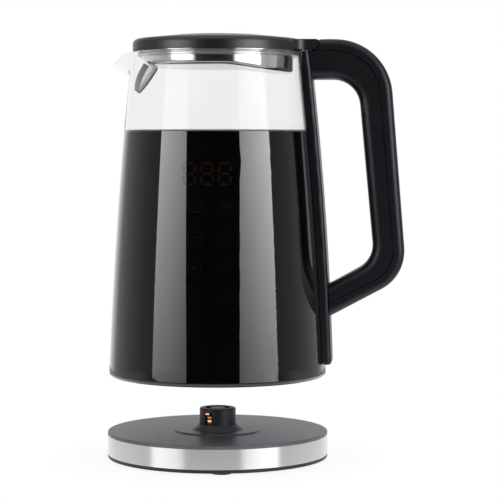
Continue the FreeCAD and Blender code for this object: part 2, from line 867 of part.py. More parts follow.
def lip_section(body, reach, low, high, half, keel):
    sketch = sketch_on(body, "YZ_Plane", f"-({reach})")
    outline(sketch, [Corner(f"-({keel})", low), Corner(keel, low), Corner(half, high),
                     Corner(f"-({half})", high)])
    return sketch


def lip_loft(body, kind, sections):
    sketches = [lip_section(body, *section) for section in sections]
    feature = body.newObject(kind, f"{body.Name}_lip")
    feature.Profile = sketches[0]
    feature.Sections = sketches[1:]


def glass_jug():
    body = make_body("jug", "kettle_rise")
    turned(body, "PartDesign::Revolution", [
        Corner("0", "tube_foot"),
        Corner("tube_foot_radius", "tube_foot"),
        Corner("tube_top_radius", "neck_low"),
        Corner("neck_radius", "neck_high"),
        Corner("neck_radius", GASKET_HIGH),
        Corner("waist_radius", GASKET_HIGH),
        Corner("rim_radius", "rim_height", arc="profile_radius"),
        Corner("0", "rim_height"),
    ])
    lip_loft(body, "PartDesign::AdditiveLoft", [
        ("lip_root", "lip_root_low", "rim_height", "lip_root_half", "lip_root_keel"),
        ("lip_middle", "lip_middle_low", "lip_middle_high", "lip_middle_half", "lip_middle_keel"),
        ("lip_reach", "lip_tip_low", "lip_tip_high", "lip_tip_half", "lip_tip_keel"),
    ])
    turned(body, "PartDesign::Groove", [
        Corner("0", "tube_foot - tube_wall"),
        Corner("tube_foot_radius - tube_wall", "tube_foot - tube_wall"),
        Corner("tube_top_radius - tube_wall", "neck_low"),
        Corner("neck_radius - tube_wall", "neck_high"),
        Corner("waist_radius - glass_wall", f"{GASKET_HIGH} + shoulder_rise"),
        Corner("rim_radius - glass_wall", "rim_height + glass_wall", arc="profile_radius"),
        Corner("0", "rim_height + glass_wall"),
    ])
    above = "rim_height + glass_wall"
    lip_loft(body, "PartDesign::SubtractiveLoft", [
        ("lip_root", "lip_root_low + lip_wall", above, "lip_root_half - lip_wall",
         "lip_root_keel - lip_wall"),
        ("lip_middle", "lip_middle_low + lip_wall", above, "lip_middle_half - lip_wall",
         "lip_middle_keel - lip_wall"),
        ("lip_reach + lip_wall", "lip_tip_low + lip_wall", above, "lip_tip_half - lip_wall",
         "lip_tip_keel - lip_wall"),
    ])
    keep(body, "glass_jug")


# Heater stack
def heater_pieces():
    cup_inner = "plate_radius - plate_cup_wall"
    cup_high = f"{PLATE_HIGH} + plate_cup_height"
    plate = cylinder("plate_disc", "plate_radius", "plate_thickness", z=at_height(PLATE_LOW))
    sensor_hole = cylinder("sensor_hole", "sensor_radius + sensor_fit", "3 * plate_thickness",
                           "0", "sensor_circle", at_height(f"{PLATE_LOW} - plate_thickness"))
    keep(cut("heating_plate", plate, [sensor_hole]), "heating_plate")
    keep(lathe("clamp_wall", rectangle(cup_inner, PLATE_HIGH, "plate_radius", cup_high), "kettle_rise"),
         "plate_clamp_ring")
    keep(lathe("foot_seal", [
        Corner("seal_inner", PLATE_HIGH),
        Corner(f"{cup_inner} - seal_fit", PLATE_HIGH),
        Corner(f"{cup_inner} - seal_fit", cup_high),
        Corner("tube_foot_radius + seal_fit", cup_high),
        Corner("tube_foot_radius + seal_fit", "tube_foot"),
        Corner("seal_inner", "tube_foot"),
    ], "kettle_rise"), "plate_seal")
    diffuser_low = f"{PLATE_LOW} - diffuser_thickness"
    keep(cylinder("diffuser", "diffuser_radius", "diffuser_thickness", z=at_height(diffuser_low)),
         "heat_diffuser")
    element = doc.addObject("Part::Torus", "element")
    element.Placement.Rotation = FreeCAD.Rotation(FreeCAD.Vector(0, 0, 1), number("element_start_angle"))
    bind(element, Radius1="element_circle", Radius2="element_radius", Angle3="element_sweep_angle",
         Placement__Base__z=at_height(f"{diffuser_low} - element_radius"),
         Placement__Rotation__Angle="element_start_angle")
    keep(element, "heating_element")
    cutouts = []
    for index, (x, y) in enumerate(around("cutout_circle", CUTOUTS, "cutout_angle")):
        cutouts.append(cylinder(f"cutout{index}", "cutout_radius", "cutout_height", x, y,
                                at_height(f"{diffuser_low} - cutout_height")))
    keep(group("cutout_group", cutouts), "dry_boil_cutouts")
    probe = cylinder("probe", "sensor_radius", f"{PLATE_HIGH} + sensor_proud - sensor_low", "0",
                     "sensor_circle", at_height("sensor_low"))
    flange = cylinder("probe_flange", "sensor_flange", "sensor_flange_height", "0", "sensor_circle",
                      at_height(f"{PLATE_LOW} - sensor_flange_height"))
    keep(fuse("sensor", [probe, flange]), "temperature_sensor")
    ring = cylinder("sensor_ring", "sensor_flange", "sensor_seal_height", "0", "sensor_circle",
                    at_height(PLATE_HIGH))
    ring_bore = cylinder("sensor_ring_bore", "sensor_radius + layer_gap", "plate_cup_height", "0",
                         "sensor_circle", at_height(PLATE_LOW))
    keep(cut("sensor_seal", ring, [ring_bore]), "sensor_seal")


# Underside
def underside_pieces():
    places = around("boss_circle", SCREWS, "boss_angle")
    head_low = at_height("cover_low")
    wall = lathe("chassis_wall_ring", [
        Corner("plate_radius - chassis_wall", COVER_HIGH),
        Corner("plate_radius", COVER_HIGH),
        Corner("plate_radius", PLATE_LOW),
        Corner("plate_radius - chassis_wall", PLATE_LOW),
    ], "kettle_rise")
    bosses = []
    for index, (x, y) in enumerate(places):
        bosses.append(cylinder(f"chassis_boss{index}", "boss_radius", "boss_height", x, y,
                               at_height(COVER_HIGH)))
    whole = fuse("chassis_whole", [wall] + bosses)
    keep(cut("chassis", whole, screw_bores("chassis_bores", places, head_low)), "chassis_ring")

    floor = lathe("cover_floor", [
        Corner("cover_mouth", "cover_low"),
        Corner("cover_radius - stand_ring_width", "cover_low"),
        Corner("cover_radius - stand_ring_width", "0"),
        Corner("cover_radius", "0"),
        Corner("cover_radius", COVER_HIGH),
        Corner("cover_mouth", COVER_HIGH),
    ], "kettle_rise")
    posts = []
    for index, side in enumerate((-1, 1)):
        posts.append(cylinder(f"board_post{index}", "board_post_radius", "board_post",
                              f"{side} * board_post_spread", "-(board_near + board_far) / 2",
                              at_height(COVER_HIGH)))
    keep(cut("cover", fuse("cover_whole", [floor] + posts), screw_bores("cover_bores", places, head_low)),
         "bottom_cover")
    screws = [screw(f"bottom_screw{i}", x, y, head_low) for i, (x, y) in enumerate(places)]
    keep(group("bottom_screw_group", screws), "bottom_screws")

    roof_high = "socket_roof_low + socket_roof"
    seat_high = "socket_roof_low + ring_seat + ring_fit"
    keep(lathe("socket", [
        Corner("socket_funnel", COVER_HIGH),
        Corner("socket_flange", COVER_HIGH),
        Corner("socket_flange", f"{COVER_HIGH} + socket_flange_height"),
        Corner("socket_radius", f"{COVER_HIGH} + socket_flange_height"),
        Corner("socket_radius", roof_high),
        Corner("0", roof_high),
        Corner("0", "socket_roof_low"),
        Corner("ring_inner - ring_fit", "socket_roof_low"),
        Corner("ring_inner - ring_fit", seat_high),
        Corner("ring_outer + ring_fit", seat_high),
        Corner("ring_outer + ring_fit", "socket_roof_low"),
        Corner("socket_well", "socket_roof_low"),
        Corner("socket_well", f"{COVER_HIGH} + socket_funnel_height"),
    ], "kettle_rise"), "power_socket")
    keep(lathe("contact_ring", [
        Corner("ring_inner", "ring_low"),
        Corner("ring_outer", "ring_low"),
        Corner("ring_outer", "socket_roof_low + ring_seat"),
        Corner("ring_inner", "socket_roof_low + ring_seat"),
    ], "kettle_rise"), "socket_contact_ring")


# Electronics
def electronic_pieces():
    board_low = f"{COVER_HIGH} + board_post"
    keep(block("board", "2 * board_half_width", "board_far - board_near", "board_thickness",
               "-board_half_width", "-board_far", at_height(board_low)), "control_board")
    keep(block("relay", "relay_width", "relay_depth", "relay_height", "-relay_width / 2",
               "-board_far + relay_margin", at_height(f"{board_low} + board_thickness")), "power_relay")

    def layer(inner, thickness, low, high):
        return [Corner(f"-({inner})", low), Corner(f"-({inner} + {thickness})", low),
                Corner(f"-({inner} + {thickness})", high), Corner(f"-({inner})", high)]

    inner = f"{shell_inside('display_high')} - stack_depth"
    back = f"{inner} + carrier_wall"
    low_flange = "display_low + carrier_flange"
    high_flange = "display_high - carrier_flange"
    keep(sector("carrier", [
        Corner(f"-({inner})", "display_low"),
        Corner(f"-({shell_inside('display_low')} - carrier_fit)", "display_low"),
        Corner(f"-({shell_inside(low_flange)} - carrier_fit)", low_flange),
        Corner(f"-({back})", low_flange),
        Corner(f"-({back})", high_flange),
        Corner(f"-({shell_inside(high_flange)} - carrier_fit)", high_flange),
        Corner(f"-({shell_inside('display_high')} - carrier_fit)", "display_high"),
        Corner(f"-({inner})", "display_high"),
    ], "display_angle", "kettle_rise"), "display_carrier")
    board_inner = f"{back} + layer_gap"
    front = f"{board_inner} + panel_thickness + layer_gap"
    keep(sector("panel_board", layer(board_inner, "panel_thickness", f"{low_flange} + layer_gap",
                                     f"{high_flange} - layer_gap"), "digits_angle", "kettle_rise"),
         "display_board")
    keep(sector("digits", layer(front, "digits_thickness", "digits_low", "digits_high"), "digits_angle",
                "kettle_rise"), "led_display")
    keep(sector("touch", layer(front, "touch_thickness", "touch_low", "touch_high"), "digits_angle",
                "kettle_rise"), "touch_film")


# Handle
SEAM = "handle_top - cover_depth"
COVER_FOOT = "handle_foot + cover_foot_depth"
BEND = "handle_top_reach - handle_top_round"
LUG = "knuckle_radius - lug_ease"
LUG_LOW = "spine_head - cover_depth"


def handle_spine():
    body = make_body("spine", "kettle_rise")
    pad, sketch, runs, _ = straight(body, "PartDesign::Pad", [
        Corner("rim_radius", "spine_foot"),
        Corner("spine_foot_reach", "spine_foot"),
        Corner("spine_head_reach", "spine_head", arc="spine_radius"),
        Corner("rim_radius", "spine_head"),
    ], "spine_width")
    round_rim(body, pad, sketch, [runs[2]], "spine_width", "spine_round")
    turned(body, "PartDesign::Groove", [
        Corner("0", "0"),
        Corner("bottom_radius + spine_fit", "0"),
        Corner("bottom_radius + spine_fit", "edge_height"),
        Corner("waist_radius + spine_fit", "waist_height", arc="profile_radius"),
        Corner("rim_radius + spine_fit", "rim_height", arc="profile_radius"),
        Corner("rim_radius + spine_fit", "handle_top"),
        Corner("0", "handle_top"),
    ])
    straight(body, "PartDesign::Pad", [
        Corner("rim_radius + knuckle_radius", LUG_LOW),
        Corner(f"pin_reach + {LUG}", LUG_LOW),
        Corner(f"pin_reach + {LUG}", f"pin_height + {LUG}"),
        Corner(f"pin_reach - ({LUG})", f"pin_height + {LUG}", round="lug_round"),
        Corner(f"pin_reach - ({LUG})", SEAM),
        Corner("rim_radius + knuckle_radius", SEAM),
    ], "lug_width")
    drilled(body, "pin_reach", "pin_height", "pin_radius + pin_fit", "spine_width")
    bores = []
    screws = []
    for index, up in enumerate(("lower_screw_height", "upper_screw_height")):
        head = f"{shell_inside(up)} - screw_head_height - 2 * screw_fit"
        bores.append(cylinder(f"spine_bore{index}", "screw_radius + screw_fit",
                              "screw_head_height + handle_screw_length + 2 * screw_fit",
                              head, "0", at_height(up), ALONG_X))
        screws.append(screw(f"handle_screw{index}", head, "0", at_height(up), ALONG_X, "handle_screw_length"))
    keep(cut("spine_cut", body, bores), "handle_spine")
    keep(group("handle_screw_group", screws), "handle_screws")
    keep(cylinder("pin", "pin_radius", "lug_width + 2 * pin_bite", "pin_reach", "-lug_width / 2 - pin_bite",
                  at_height("pin_height"), ALONG_Y), "hinge_pin")


def lug_slot(body):
    """Clear the middle of a handle piece for the hinge lug of the spine."""
    slot = rectangle("rim_radius", f"{LUG_LOW} - spine_fit", f"pin_reach + {LUG} + spine_fit", "handle_top")
    straight(body, "PartDesign::Pocket", slot, "lug_width + 2 * spine_fit")


def handle_grip():
    roof = f"{SEAM} - seam_gap"
    foot = f"{COVER_FOOT} + seam_gap"
    side = "cover_depth + seam_gap"
    body = make_body("grip", "kettle_rise")
    pad, sketch, runs, rounds = straight(body, "PartDesign::Pad", [
        Corner(spine_face(roof), roof),
        Corner(f"handle_top_reach - ({side})", roof, round="handle_top_round - cover_depth"),
        Corner(f"handle_low_reach - ({side})", "handle_low + cover_low_shift + seam_gap",
               round="handle_low_round - cover_depth"),
        Corner(spine_face(foot), foot),
        Corner(spine_face("grip_foot"), "grip_foot"),
        Corner("grip_low_reach", "grip_low", round="grip_low_round"),
        Corner("grip_top_reach", "grip_top", round="grip_top_round"),
        Corner(spine_face("grip_top"), "grip_top"),
    ], "handle_width")
    inner = [runs[5], rounds[5], runs[6], rounds[6], runs[7]]
    round_rim(body, pad, sketch, inner, "handle_width", "grip_edge_round")
    straight(body, "PartDesign::Pocket", [
        Corner("handle_start + button_flange", "handle_top"),
        Corner("handle_top_reach", "handle_top"),
        Corner("handle_low_reach", "handle_low"),
        Corner(f"{spine_face('grip_foot')} + grip_foot_wall", "handle_foot"),
        Corner(f"{spine_face('grip_foot')} + grip_foot_wall", "grip_foot"),
        Corner("grip_low_reach + grip_wall", "grip_low - grip_wall / 2", round="grip_low_round + grip_wall"),
        Corner("grip_top_reach + grip_wall", "grip_top + grip_wall", round="grip_top_round + grip_wall"),
        Corner("handle_start + button_flange", "grip_top + grip_wall"),
    ], "handle_width - 2 * grip_side_wall")
    lug_slot(body)
    keep(body, "handle_grip")


def seam_rib(body):
    """Close the seam behind the bend of the cover, so that no light passes between cover and grip."""
    end = "handle_low + handle_low_round"
    back = between("handle_low_reach", "handle_low", "handle_top_reach", "handle_top", end)
    straight(body, "PartDesign::Pad", [
        Corner(f"{BEND} + seam_gap", f"{SEAM} - rib_depth"),
        Corner("handle_top_reach - cover_depth - rib_depth", f"{SEAM} - rib_depth",
               round="handle_top_round - cover_depth - rib_depth"),
        Corner(f"{back} - cover_depth - rib_depth", end),
        Corner(f"{back} - cover_depth / 2", end),
        Corner("handle_top_reach - cover_depth / 2", f"{SEAM} + cover_depth / 2",
               round="handle_top_round - cover_depth / 2"),
        Corner(f"{BEND} + seam_gap", f"{SEAM} + cover_depth / 2"),
    ], "rib_width")


def handle_cover():
    body = make_body("outer_cover", "kettle_rise")
    pad, sketch, runs, rounds = straight(body, "PartDesign::Pad", [
        Corner("seat_foot", SEAM),
        Corner("handle_top_reach - cover_depth", SEAM, round="handle_top_round - cover_depth"),
        Corner("handle_low_reach - cover_depth", "handle_low + cover_low_shift",
               round="handle_low_round - cover_depth"),
        Corner(spine_face(COVER_FOOT), COVER_FOOT),
        Corner(spine_face("handle_foot"), "handle_foot"),
        Corner("handle_low_reach", "handle_low", round="handle_low_round"),
        Corner("handle_top_reach", "handle_top", round="handle_top_round"),
        Corner("handle_start", "handle_top"),
        Corner("handle_start", "pin_height - seat_drop"),
    ], "handle_width")
    outer = [runs[5], rounds[5], runs[6], rounds[6], runs[7]]
    round_rim(body, pad, sketch, outer, "handle_width", "cover_round")
    seam_rib(body)
    lug_slot(body)
    opening = block("button_opening", "button_length", "button_width", "4 * cover_depth", "button_start",
                    "-button_width / 2", at_height(f"{SEAM} - cover_depth"))
    keep(cut("cover_cut", body, [opening]), "handle_cover")


def lid_button():
    low = f"{SEAM} - button_stop_gap"
    left = "button_start + button_fit"
    right = "button_start + button_length - button_fit"
    key_round = "handle_top_round + button_proud"
    key_end = f"handle_top - handle_top_round + sqrt(({key_round}) ^ 2 - ({right} - ({BEND})) ^ 2)"
    key = make_body("button_key", "kettle_rise")
    straight(key, "PartDesign::Pad", [
        Corner(left, low),
        Corner(right, low),
        Corner(right, key_end),
        Corner(BEND, "handle_top + button_proud", arc=key_round),
        Corner(left, "handle_top + button_proud"),
    ], "button_width - 2 * button_fit")
    grow = "button_flange - button_fit"
    flange = rectangle(f"button_start - ({grow})", f"{low} - button_flange_height", BEND, low)
    straight(key, "PartDesign::Pad", flange, f"button_width + 2 * ({grow})")
    keep(key, "lid_button")
    spring_reach = f"(button_start + {BEND}) / 2"
    floor = "grip_top + grip_wall + layer_gap"
    coil = doc.addObject("Part::Helix", "spring_line")
    height = f"{low} - button_flange_height - layer_gap - ({floor}) - 2 * spring_wire"
    bind(coil, Height=height, Pitch=f"({height}) / {SPRING_TURNS}", Radius="spring_radius",
         Placement__Base__x=spring_reach,
         Placement__Base__z=at_height(f"{floor} + spring_wire"))
    wire = doc.addObject("Part::Circle", "spring_section")
    wire.Placement.Rotation = ALONG_Y
    bind(wire, Radius="spring_wire", Placement__Base__x=f"{spring_reach} + spring_radius",
         Placement__Base__z=at_height(f"{floor} + spring_wire"))
    doc.recompute()
    spring = doc.addObject("Part::Sweep", "spring")
    spring.Sections = [wire]
    spring.Spine = (coil, [f"Edge{index}" for index in range(1, len(coil.Shape.Edges) + 1)])
    spring.Solid = True
    spring.Frenet = True
    keep(spring, "button_spring")


# Lid
def lid_cover():
    inside = "lid_radius - lid_wall"
    body = make_body("lid", "kettle_rise")
    turned(body, "PartDesign::Revolution", [
        Corner("0", "lid_shoulder - lid_wall"),
        Corner(inside, "lid_shoulder - lid_wall"),
        Corner(inside, "lid_low"),
        Corner("lid_radius", "lid_low"),
        Corner("lid_radius", "lid_shoulder", round="lid_edge_round"),
        Corner("lid_crown", "lid_top"),
        Corner("0", "lid_top"),
    ])
    straight(body, "PartDesign::Pad", [
        Corner(inside, "lid_low"),
        Corner("tongue_foot", "lid_low"),
        Corner("tongue_end", "handle_top", round="knuckle_radius"),
        Corner(inside, "handle_top"),
    ], "tongue_width")
    straight(body, "PartDesign::Pocket", rectangle(
        "pin_reach - knuckle_radius - lug_gap", "lid_low - lug_gap", "tongue_end", "handle_top + lug_gap"),
             "lug_width + 2 * lug_gap")
    drilled(body, "pin_reach", "pin_height", "pin_radius + pin_fit", "lug_width + 2 * (pin_bite + lug_gap)")
    places = around("lid_screw_circle", SCREWS, "lid_screw_angle")
    plate_high = "lid_low + lid_plate_thickness"
    bosses = []
    for index, (x, y) in enumerate(places):
        bosses.append(cylinder(f"lid_boss{index}", "lid_boss_radius",
                               f"lid_shoulder - lid_wall / 2 - ({plate_high})", x, y, at_height(plate_high)))
    head_low = at_height("lid_low - screw_head_height")
    whole = fuse("lid_whole", [body] + bosses)
    keep(cut("lid_cut", whole, screw_bores("lid_bores", places, head_low, "lid_screw_length")), "lid_cover")
    plate = lathe("lid_disc", [
        Corner("0", "lid_low"),
        Corner(f"{inside} - lid_plate_fit", "lid_low"),
        Corner(f"{inside} - lid_plate_fit", plate_high),
        Corner("0", plate_high),
    ], "kettle_rise")
    keep(cut("lid_plate_cut", plate, screw_bores("lid_plate_bores", places, head_low, "lid_screw_length")),
         "lid_plate")
    screws = []
    for index, (x, y) in enumerate(places):
        screws.append(screw(f"lid_screw{index}", x, y, head_low, length="lid_screw_length"))
    keep(group("lid_screw_group", screws), "lid_screws")


def liner_form(label, inset, top):
    """The liner's bowl, drawn in by an inset: deeper at the hinge, with a slanted facet at the spout."""
    radius = f"liner_radius - ({inset})"
    facet_high = f"lid_low - liner_facet_drop + {inset}"
    body = make_body(label, "kettle_rise")
    turned(body, "PartDesign::Revolution", rectangle("0", "liner_low_hinge - liner_radius", radius, top))
    straight(body, "PartDesign::Pocket", [
        Corner(f"-liner_radius - liner_facet_drop + {inset}", f"{facet_high} + liner_facet_drop"),
        Corner(f"-liner_facet_reach + {inset}", f"liner_low_spout + {inset}"),
        Corner("liner_radius + liner_facet_drop", f"liner_low_hinge + {inset}"),
        Corner("liner_radius + liner_facet_drop", "liner_low_hinge - 2 * liner_radius"),
        Corner(f"-liner_radius - liner_facet_drop + {inset}", "liner_low_hinge - 2 * liner_radius"),
    ], "4 * liner_radius")
    return body


def lid_lining():
    outer = liner_form("liner_outer", "0 * liner_wall", "lid_low")
    inner = liner_form("liner_inner", "liner_wall", "lid_low + liner_wall")
    keep(cut("liner", outer, [inner]), "lid_liner")
    keep(lathe("rim_seal", [
        Corner("liner_radius + seal_fit", "lid_seal_high - lid_seal_height"),
        Corner("lid_seal_reach", "lid_seal_high - lid_seal_height + lid_seal_taper"),
        Corner("lid_seal_reach", "lid_seal_high - lid_seal_taper"),
        Corner("liner_radius + seal_fit", "lid_seal_high"),
    ], "kettle_rise"), "lid_seal")


# Spout strainer
def strainer_body(label):
    body = make_body(label, at_height("strainer_low"))
    body.Placement.Rotation = FreeCAD.Rotation(FreeCAD.Vector(0, 1, 0), number("strainer_angle"))
    bind(body, Placement__Base__x="-strainer_reach", Placement__Base__z=at_height("strainer_low"),
         Placement__Rotation__Angle="strainer_angle")
    return body


def strainer_window(ease):
    """The leaf-shaped opening of the strainer's frame, drawn in by an ease."""
    high = f"strainer_height - strainer_bar - {ease}"
    tip = f"strainer_tip_half - strainer_tip_band - {ease}"
    half = f"strainer_half - strainer_side_band - {ease}"
    return [Corner(f"-({tip})", f"strainer_band + {ease}"), Corner(tip, f"strainer_band + {ease}"),
            Corner(half, high), Corner(f"-({half})", high)]


def strainer_pieces():
    bar_low = "strainer_height - strainer_bar"
    frame = strainer_body("leaf")
    straight(frame, "PartDesign::Pad", [
        Corner("-strainer_tip_half", "0", round="strainer_tip_round"),
        Corner("strainer_tip_half", "0", round="strainer_tip_round"),
        Corner("strainer_half", bar_low),
        Corner("strainer_bar_half", bar_low),
        Corner("strainer_bar_half", "strainer_height"),
        Corner("-strainer_bar_half", "strainer_height"),
        Corner("-strainer_bar_half", bar_low),
        Corner("-strainer_half", bar_low),
    ], "strainer_depth", "YZ_Plane")
    straight(frame, "PartDesign::Pocket", strainer_window("0 * layer_gap"), "2 * strainer_depth", "YZ_Plane")
    keep(frame, "strainer_frame")
    mesh = strainer_body("leaf_mesh")
    sketch = sketch_on(mesh, "YZ_Plane")
    outline(sketch, strainer_window("layer_gap"))
    for index in range(MESH_SLOTS):
        middle = f"{index - (MESH_SLOTS - 1) / 2} * mesh_pitch"
        outline(sketch, rectangle(f"{middle} - mesh_slot / 2", "mesh_slot_low", f"{middle} + mesh_slot / 2",
                                  "mesh_slot_high"))
    pad = mesh.newObject("PartDesign::Pad", "mesh_pad")
    pad.Profile = sketch
    pad.SideType = "Symmetric"
    bind(pad, Length="mesh_thickness")
    keep(mesh, "strainer_mesh")


def check_and_write():
    doc.recompute()
    for item in doc.Objects:
        if "Invalid" in item.State or "Error" in item.State:
            raise RuntimeError(f"{item.Label} failed: {item.State}")
    for node in NODES:
        if node.Shape.isNull() or not node.Shape.isValid() or not node.Shape.Solids:
            raise RuntimeError(f"{node.Label} has no valid solid")
    os.makedirs("parts", exist_ok=True)
    for node in NODES:
        node.Shape.exportStep(os.path.join("parts", f"{node.Label}.step"))
    print(len(NODES), "nodes written")


base_pieces()
plug_pieces()
shell_pieces()
glass_jug()
heater_pieces()
underside_pieces()
electronic_pieces()
handle_spine()
handle_grip()
handle_cover()
lid_button()
lid_cover()
lid_lining()
strainer_pieces()
check_and_write()
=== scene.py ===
import json
import math

import bmesh
import bpy
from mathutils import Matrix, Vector

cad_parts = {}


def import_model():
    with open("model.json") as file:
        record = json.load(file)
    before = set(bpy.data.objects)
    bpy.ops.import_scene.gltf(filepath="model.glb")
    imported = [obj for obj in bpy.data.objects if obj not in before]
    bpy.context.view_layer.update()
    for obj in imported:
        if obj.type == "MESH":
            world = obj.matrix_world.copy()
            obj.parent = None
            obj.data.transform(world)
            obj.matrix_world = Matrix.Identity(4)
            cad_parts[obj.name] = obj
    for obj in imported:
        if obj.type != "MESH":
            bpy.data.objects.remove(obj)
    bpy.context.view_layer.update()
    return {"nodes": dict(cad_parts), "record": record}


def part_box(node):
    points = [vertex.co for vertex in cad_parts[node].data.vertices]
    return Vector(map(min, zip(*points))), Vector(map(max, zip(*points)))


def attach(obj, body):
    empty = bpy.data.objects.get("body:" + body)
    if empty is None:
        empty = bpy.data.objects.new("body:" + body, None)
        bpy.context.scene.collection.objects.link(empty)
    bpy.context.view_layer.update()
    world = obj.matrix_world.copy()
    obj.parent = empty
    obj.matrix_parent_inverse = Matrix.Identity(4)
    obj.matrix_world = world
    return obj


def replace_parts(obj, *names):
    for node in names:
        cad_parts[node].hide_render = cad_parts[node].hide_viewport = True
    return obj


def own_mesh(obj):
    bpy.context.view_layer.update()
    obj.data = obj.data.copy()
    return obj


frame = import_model()
nodes = frame["nodes"]

MM = 0.001
KETTLE_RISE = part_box("body_shell")[0][2]


# Colours and shader helpers
def grey(value, blue=1.0):
    return (value, value, value * blue, 1.0)


class Nodes:
    """Short calls for the nodes of a material, a lamp or the world."""

    def __init__(self, tree):
        self.tree = tree

    def add(self, kind, **settings):
        node = self.tree.nodes.new(kind)
        for label, value in settings.items():
            setattr(node, label, value)
        return node

    def link(self, source, target):
        self.tree.links.new(source, target)

    def sums(self, kind, values, settings):
        """A maths node; each value is a number, a vector or another node's output."""
        node = self.add(kind, **settings)
        for socket, value in zip(node.inputs, values):
            if isinstance(value, bpy.types.NodeSocket):
                self.link(value, socket)
            else:
                socket.default_value = value
        return node

    def maths(self, operation, *values, use_clamp=False):
        settings = {"operation": operation, "use_clamp": use_clamp}
        return self.sums("ShaderNodeMath", values, settings).outputs[0]

    def vector(self, operation, *values):
        node = self.sums("ShaderNodeVectorMath", values, {"operation": operation})
        return node.outputs["Value" if operation in ("DOT_PRODUCT", "LENGTH") else "Vector"]

    def split(self, source):
        node = self.add("ShaderNodeSeparateXYZ")
        self.link(source, node.inputs[0])
        return node.outputs

    def combine(self, *parts):
        node = self.add("ShaderNodeCombineXYZ")
        for part, socket in zip(parts, node.inputs):
            self.link(part, socket)
        return node.outputs[0]

    def spread(self, source, low, high, start=0.3, end=0.7):
        """A value that runs from low to high while the source runs from start to end."""
        span = self.add("ShaderNodeMapRange")
        span.inputs["From Min"].default_value = start
        span.inputs["From Max"].default_value = end
        span.inputs["To Min"].default_value = low
        span.inputs["To Max"].default_value = high
        self.link(source, span.inputs["Value"])
        return span.outputs["Result"]


class Finish(Nodes):
    """A material with a principled shader, and short calls for what feeds it."""

    def __init__(self, name, **sockets):
        self.material = bpy.data.materials.new(name)
        self.material.use_nodes = True
        super().__init__(self.material.node_tree)
        self.shader = self.tree.nodes["Principled BSDF"]
        for label, value in sockets.items():
            self.shader.inputs[label.replace("_", " ")].default_value = value

    def feed(self, source, socket):
        self.link(source, self.shader.inputs[socket])

    def place(self):
        return self.add("ShaderNodeTexCoord").outputs["Object"]

    def around(self, per_turn, per_metre):
        """Coordinates that follow the upright axis: turn, height and distance from the axis."""
        x, y, z = self.split(self.place())
        turn = self.maths("MULTIPLY", self.maths("ARCTAN2", y, x), per_turn)
        rise = self.maths("MULTIPLY", z, per_metre)
        reach = self.maths("MULTIPLY", self.vector("LENGTH", self.combine(x, y)), per_metre)
        return self.combine(turn, rise, reach)

    def noise(self, scale, detail, vector=None, roughness=0.5):
        texture = self.add("ShaderNodeTexNoise")
        texture.inputs["Scale"].default_value = scale
        texture.inputs["Detail"].default_value = detail
        texture.inputs["Roughness"].default_value = roughness
        self.link(vector or self.place(), texture.inputs["Vector"])
        return texture.outputs["Fac"]

    def tint(self, source, first, second, start=0.3, end=0.7):
        ramp = self.add("ShaderNodeValToRGB")
        ramp.color_ramp.elements[0].position = start
        ramp.color_ramp.elements[0].color = first
        ramp.color_ramp.elements[1].position = end
        ramp.color_ramp.elements[1].color = second
        self.link(source, ramp.inputs["Fac"])
        return ramp.outputs["Color"]

    def bump(self, source, strength, distance):
        node = self.add("ShaderNodeBump")
        node.inputs["Strength"].default_value = strength
        node.inputs["Distance"].default_value = distance
        self.link(source, node.inputs["Height"])
        self.feed(node.outputs["Normal"], "Normal")

    def colour(self, first, second, scale, detail):
        """Let the colour drift between two tones."""
        self.feed(self.tint(self.noise(scale, detail), first, second), "Base Color")

    def polish(self, low, high, scale, detail):
        """Let the roughness drift between two values."""
        self.feed(self.spread(self.noise(scale, detail), low, high), "Roughness")

    def grain(self, strength, distance, scale, detail):
        """Raise a fine uneven grain."""
        self.bump(self.noise(scale, detail), strength, distance)


# Finishes
TONE_DRIFT = 0.08
ROUGH_DRIFT = 0.02
GLASS_INDEX = 1.22
LIP_INDEX = 1.03
LIP_INDEX_X = -0.062
GLASS_INDEX_X = -0.046
LINES_PER_TURN = 6.0
QUARTER_TURN = 0.25
TRACK_SCALE = 260.0
TRACK_COLOURS = {
    "Color1": (0.012, 0.09, 0.04, 1.0),
    "Color2": (0.015, 0.12, 0.05, 1.0),
    "Mortar": (0.03, 0.2, 0.09, 1.0),
}
AMBER_DARK = (0.0095, 0.005, 0.0026)
AMBER_LIGHT = (0.012, 0.0062, 0.003)
HOLE_SCALE = 1100.0
HOLE_RANDOMNESS = 0.1


def moulded(name, tone, rough, blue=1.05, shine=0.5):
    """Satin moulded plastic: fine spark-eroded grain, with slow changes of tone and polish."""
    finish = Finish(name, Specular_IOR_Level=shine, Specular_Tint=grey(1.0 / blue, blue))
    dark = grey(tone * (1.0 - TONE_DRIFT), blue)
    light = grey(tone * (1.0 + TONE_DRIFT), blue)
    finish.colour(dark, light, scale=38.0, detail=3.0)
    finish.polish(rough - ROUGH_DRIFT, rough + ROUGH_DRIFT, scale=160.0, detail=4.0)
    finish.grain(strength=0.2, distance=0.00004, scale=2600.0, detail=2.0)
    return finish.material


def gloss_black():
    finish = Finish("gloss_black", Specular_IOR_Level=0.65, Coat_Weight=0.7, Coat_Roughness=0.02)
    finish.colour(grey(0.0008, blue=1.1), grey(0.0012, blue=1.1), scale=20.0, detail=2.0)
    finish.polish(0.025, 0.05, scale=60.0, detail=4.0)
    finish.grain(strength=0.02, distance=0.00002, scale=420.0, detail=1.0)
    return finish.material


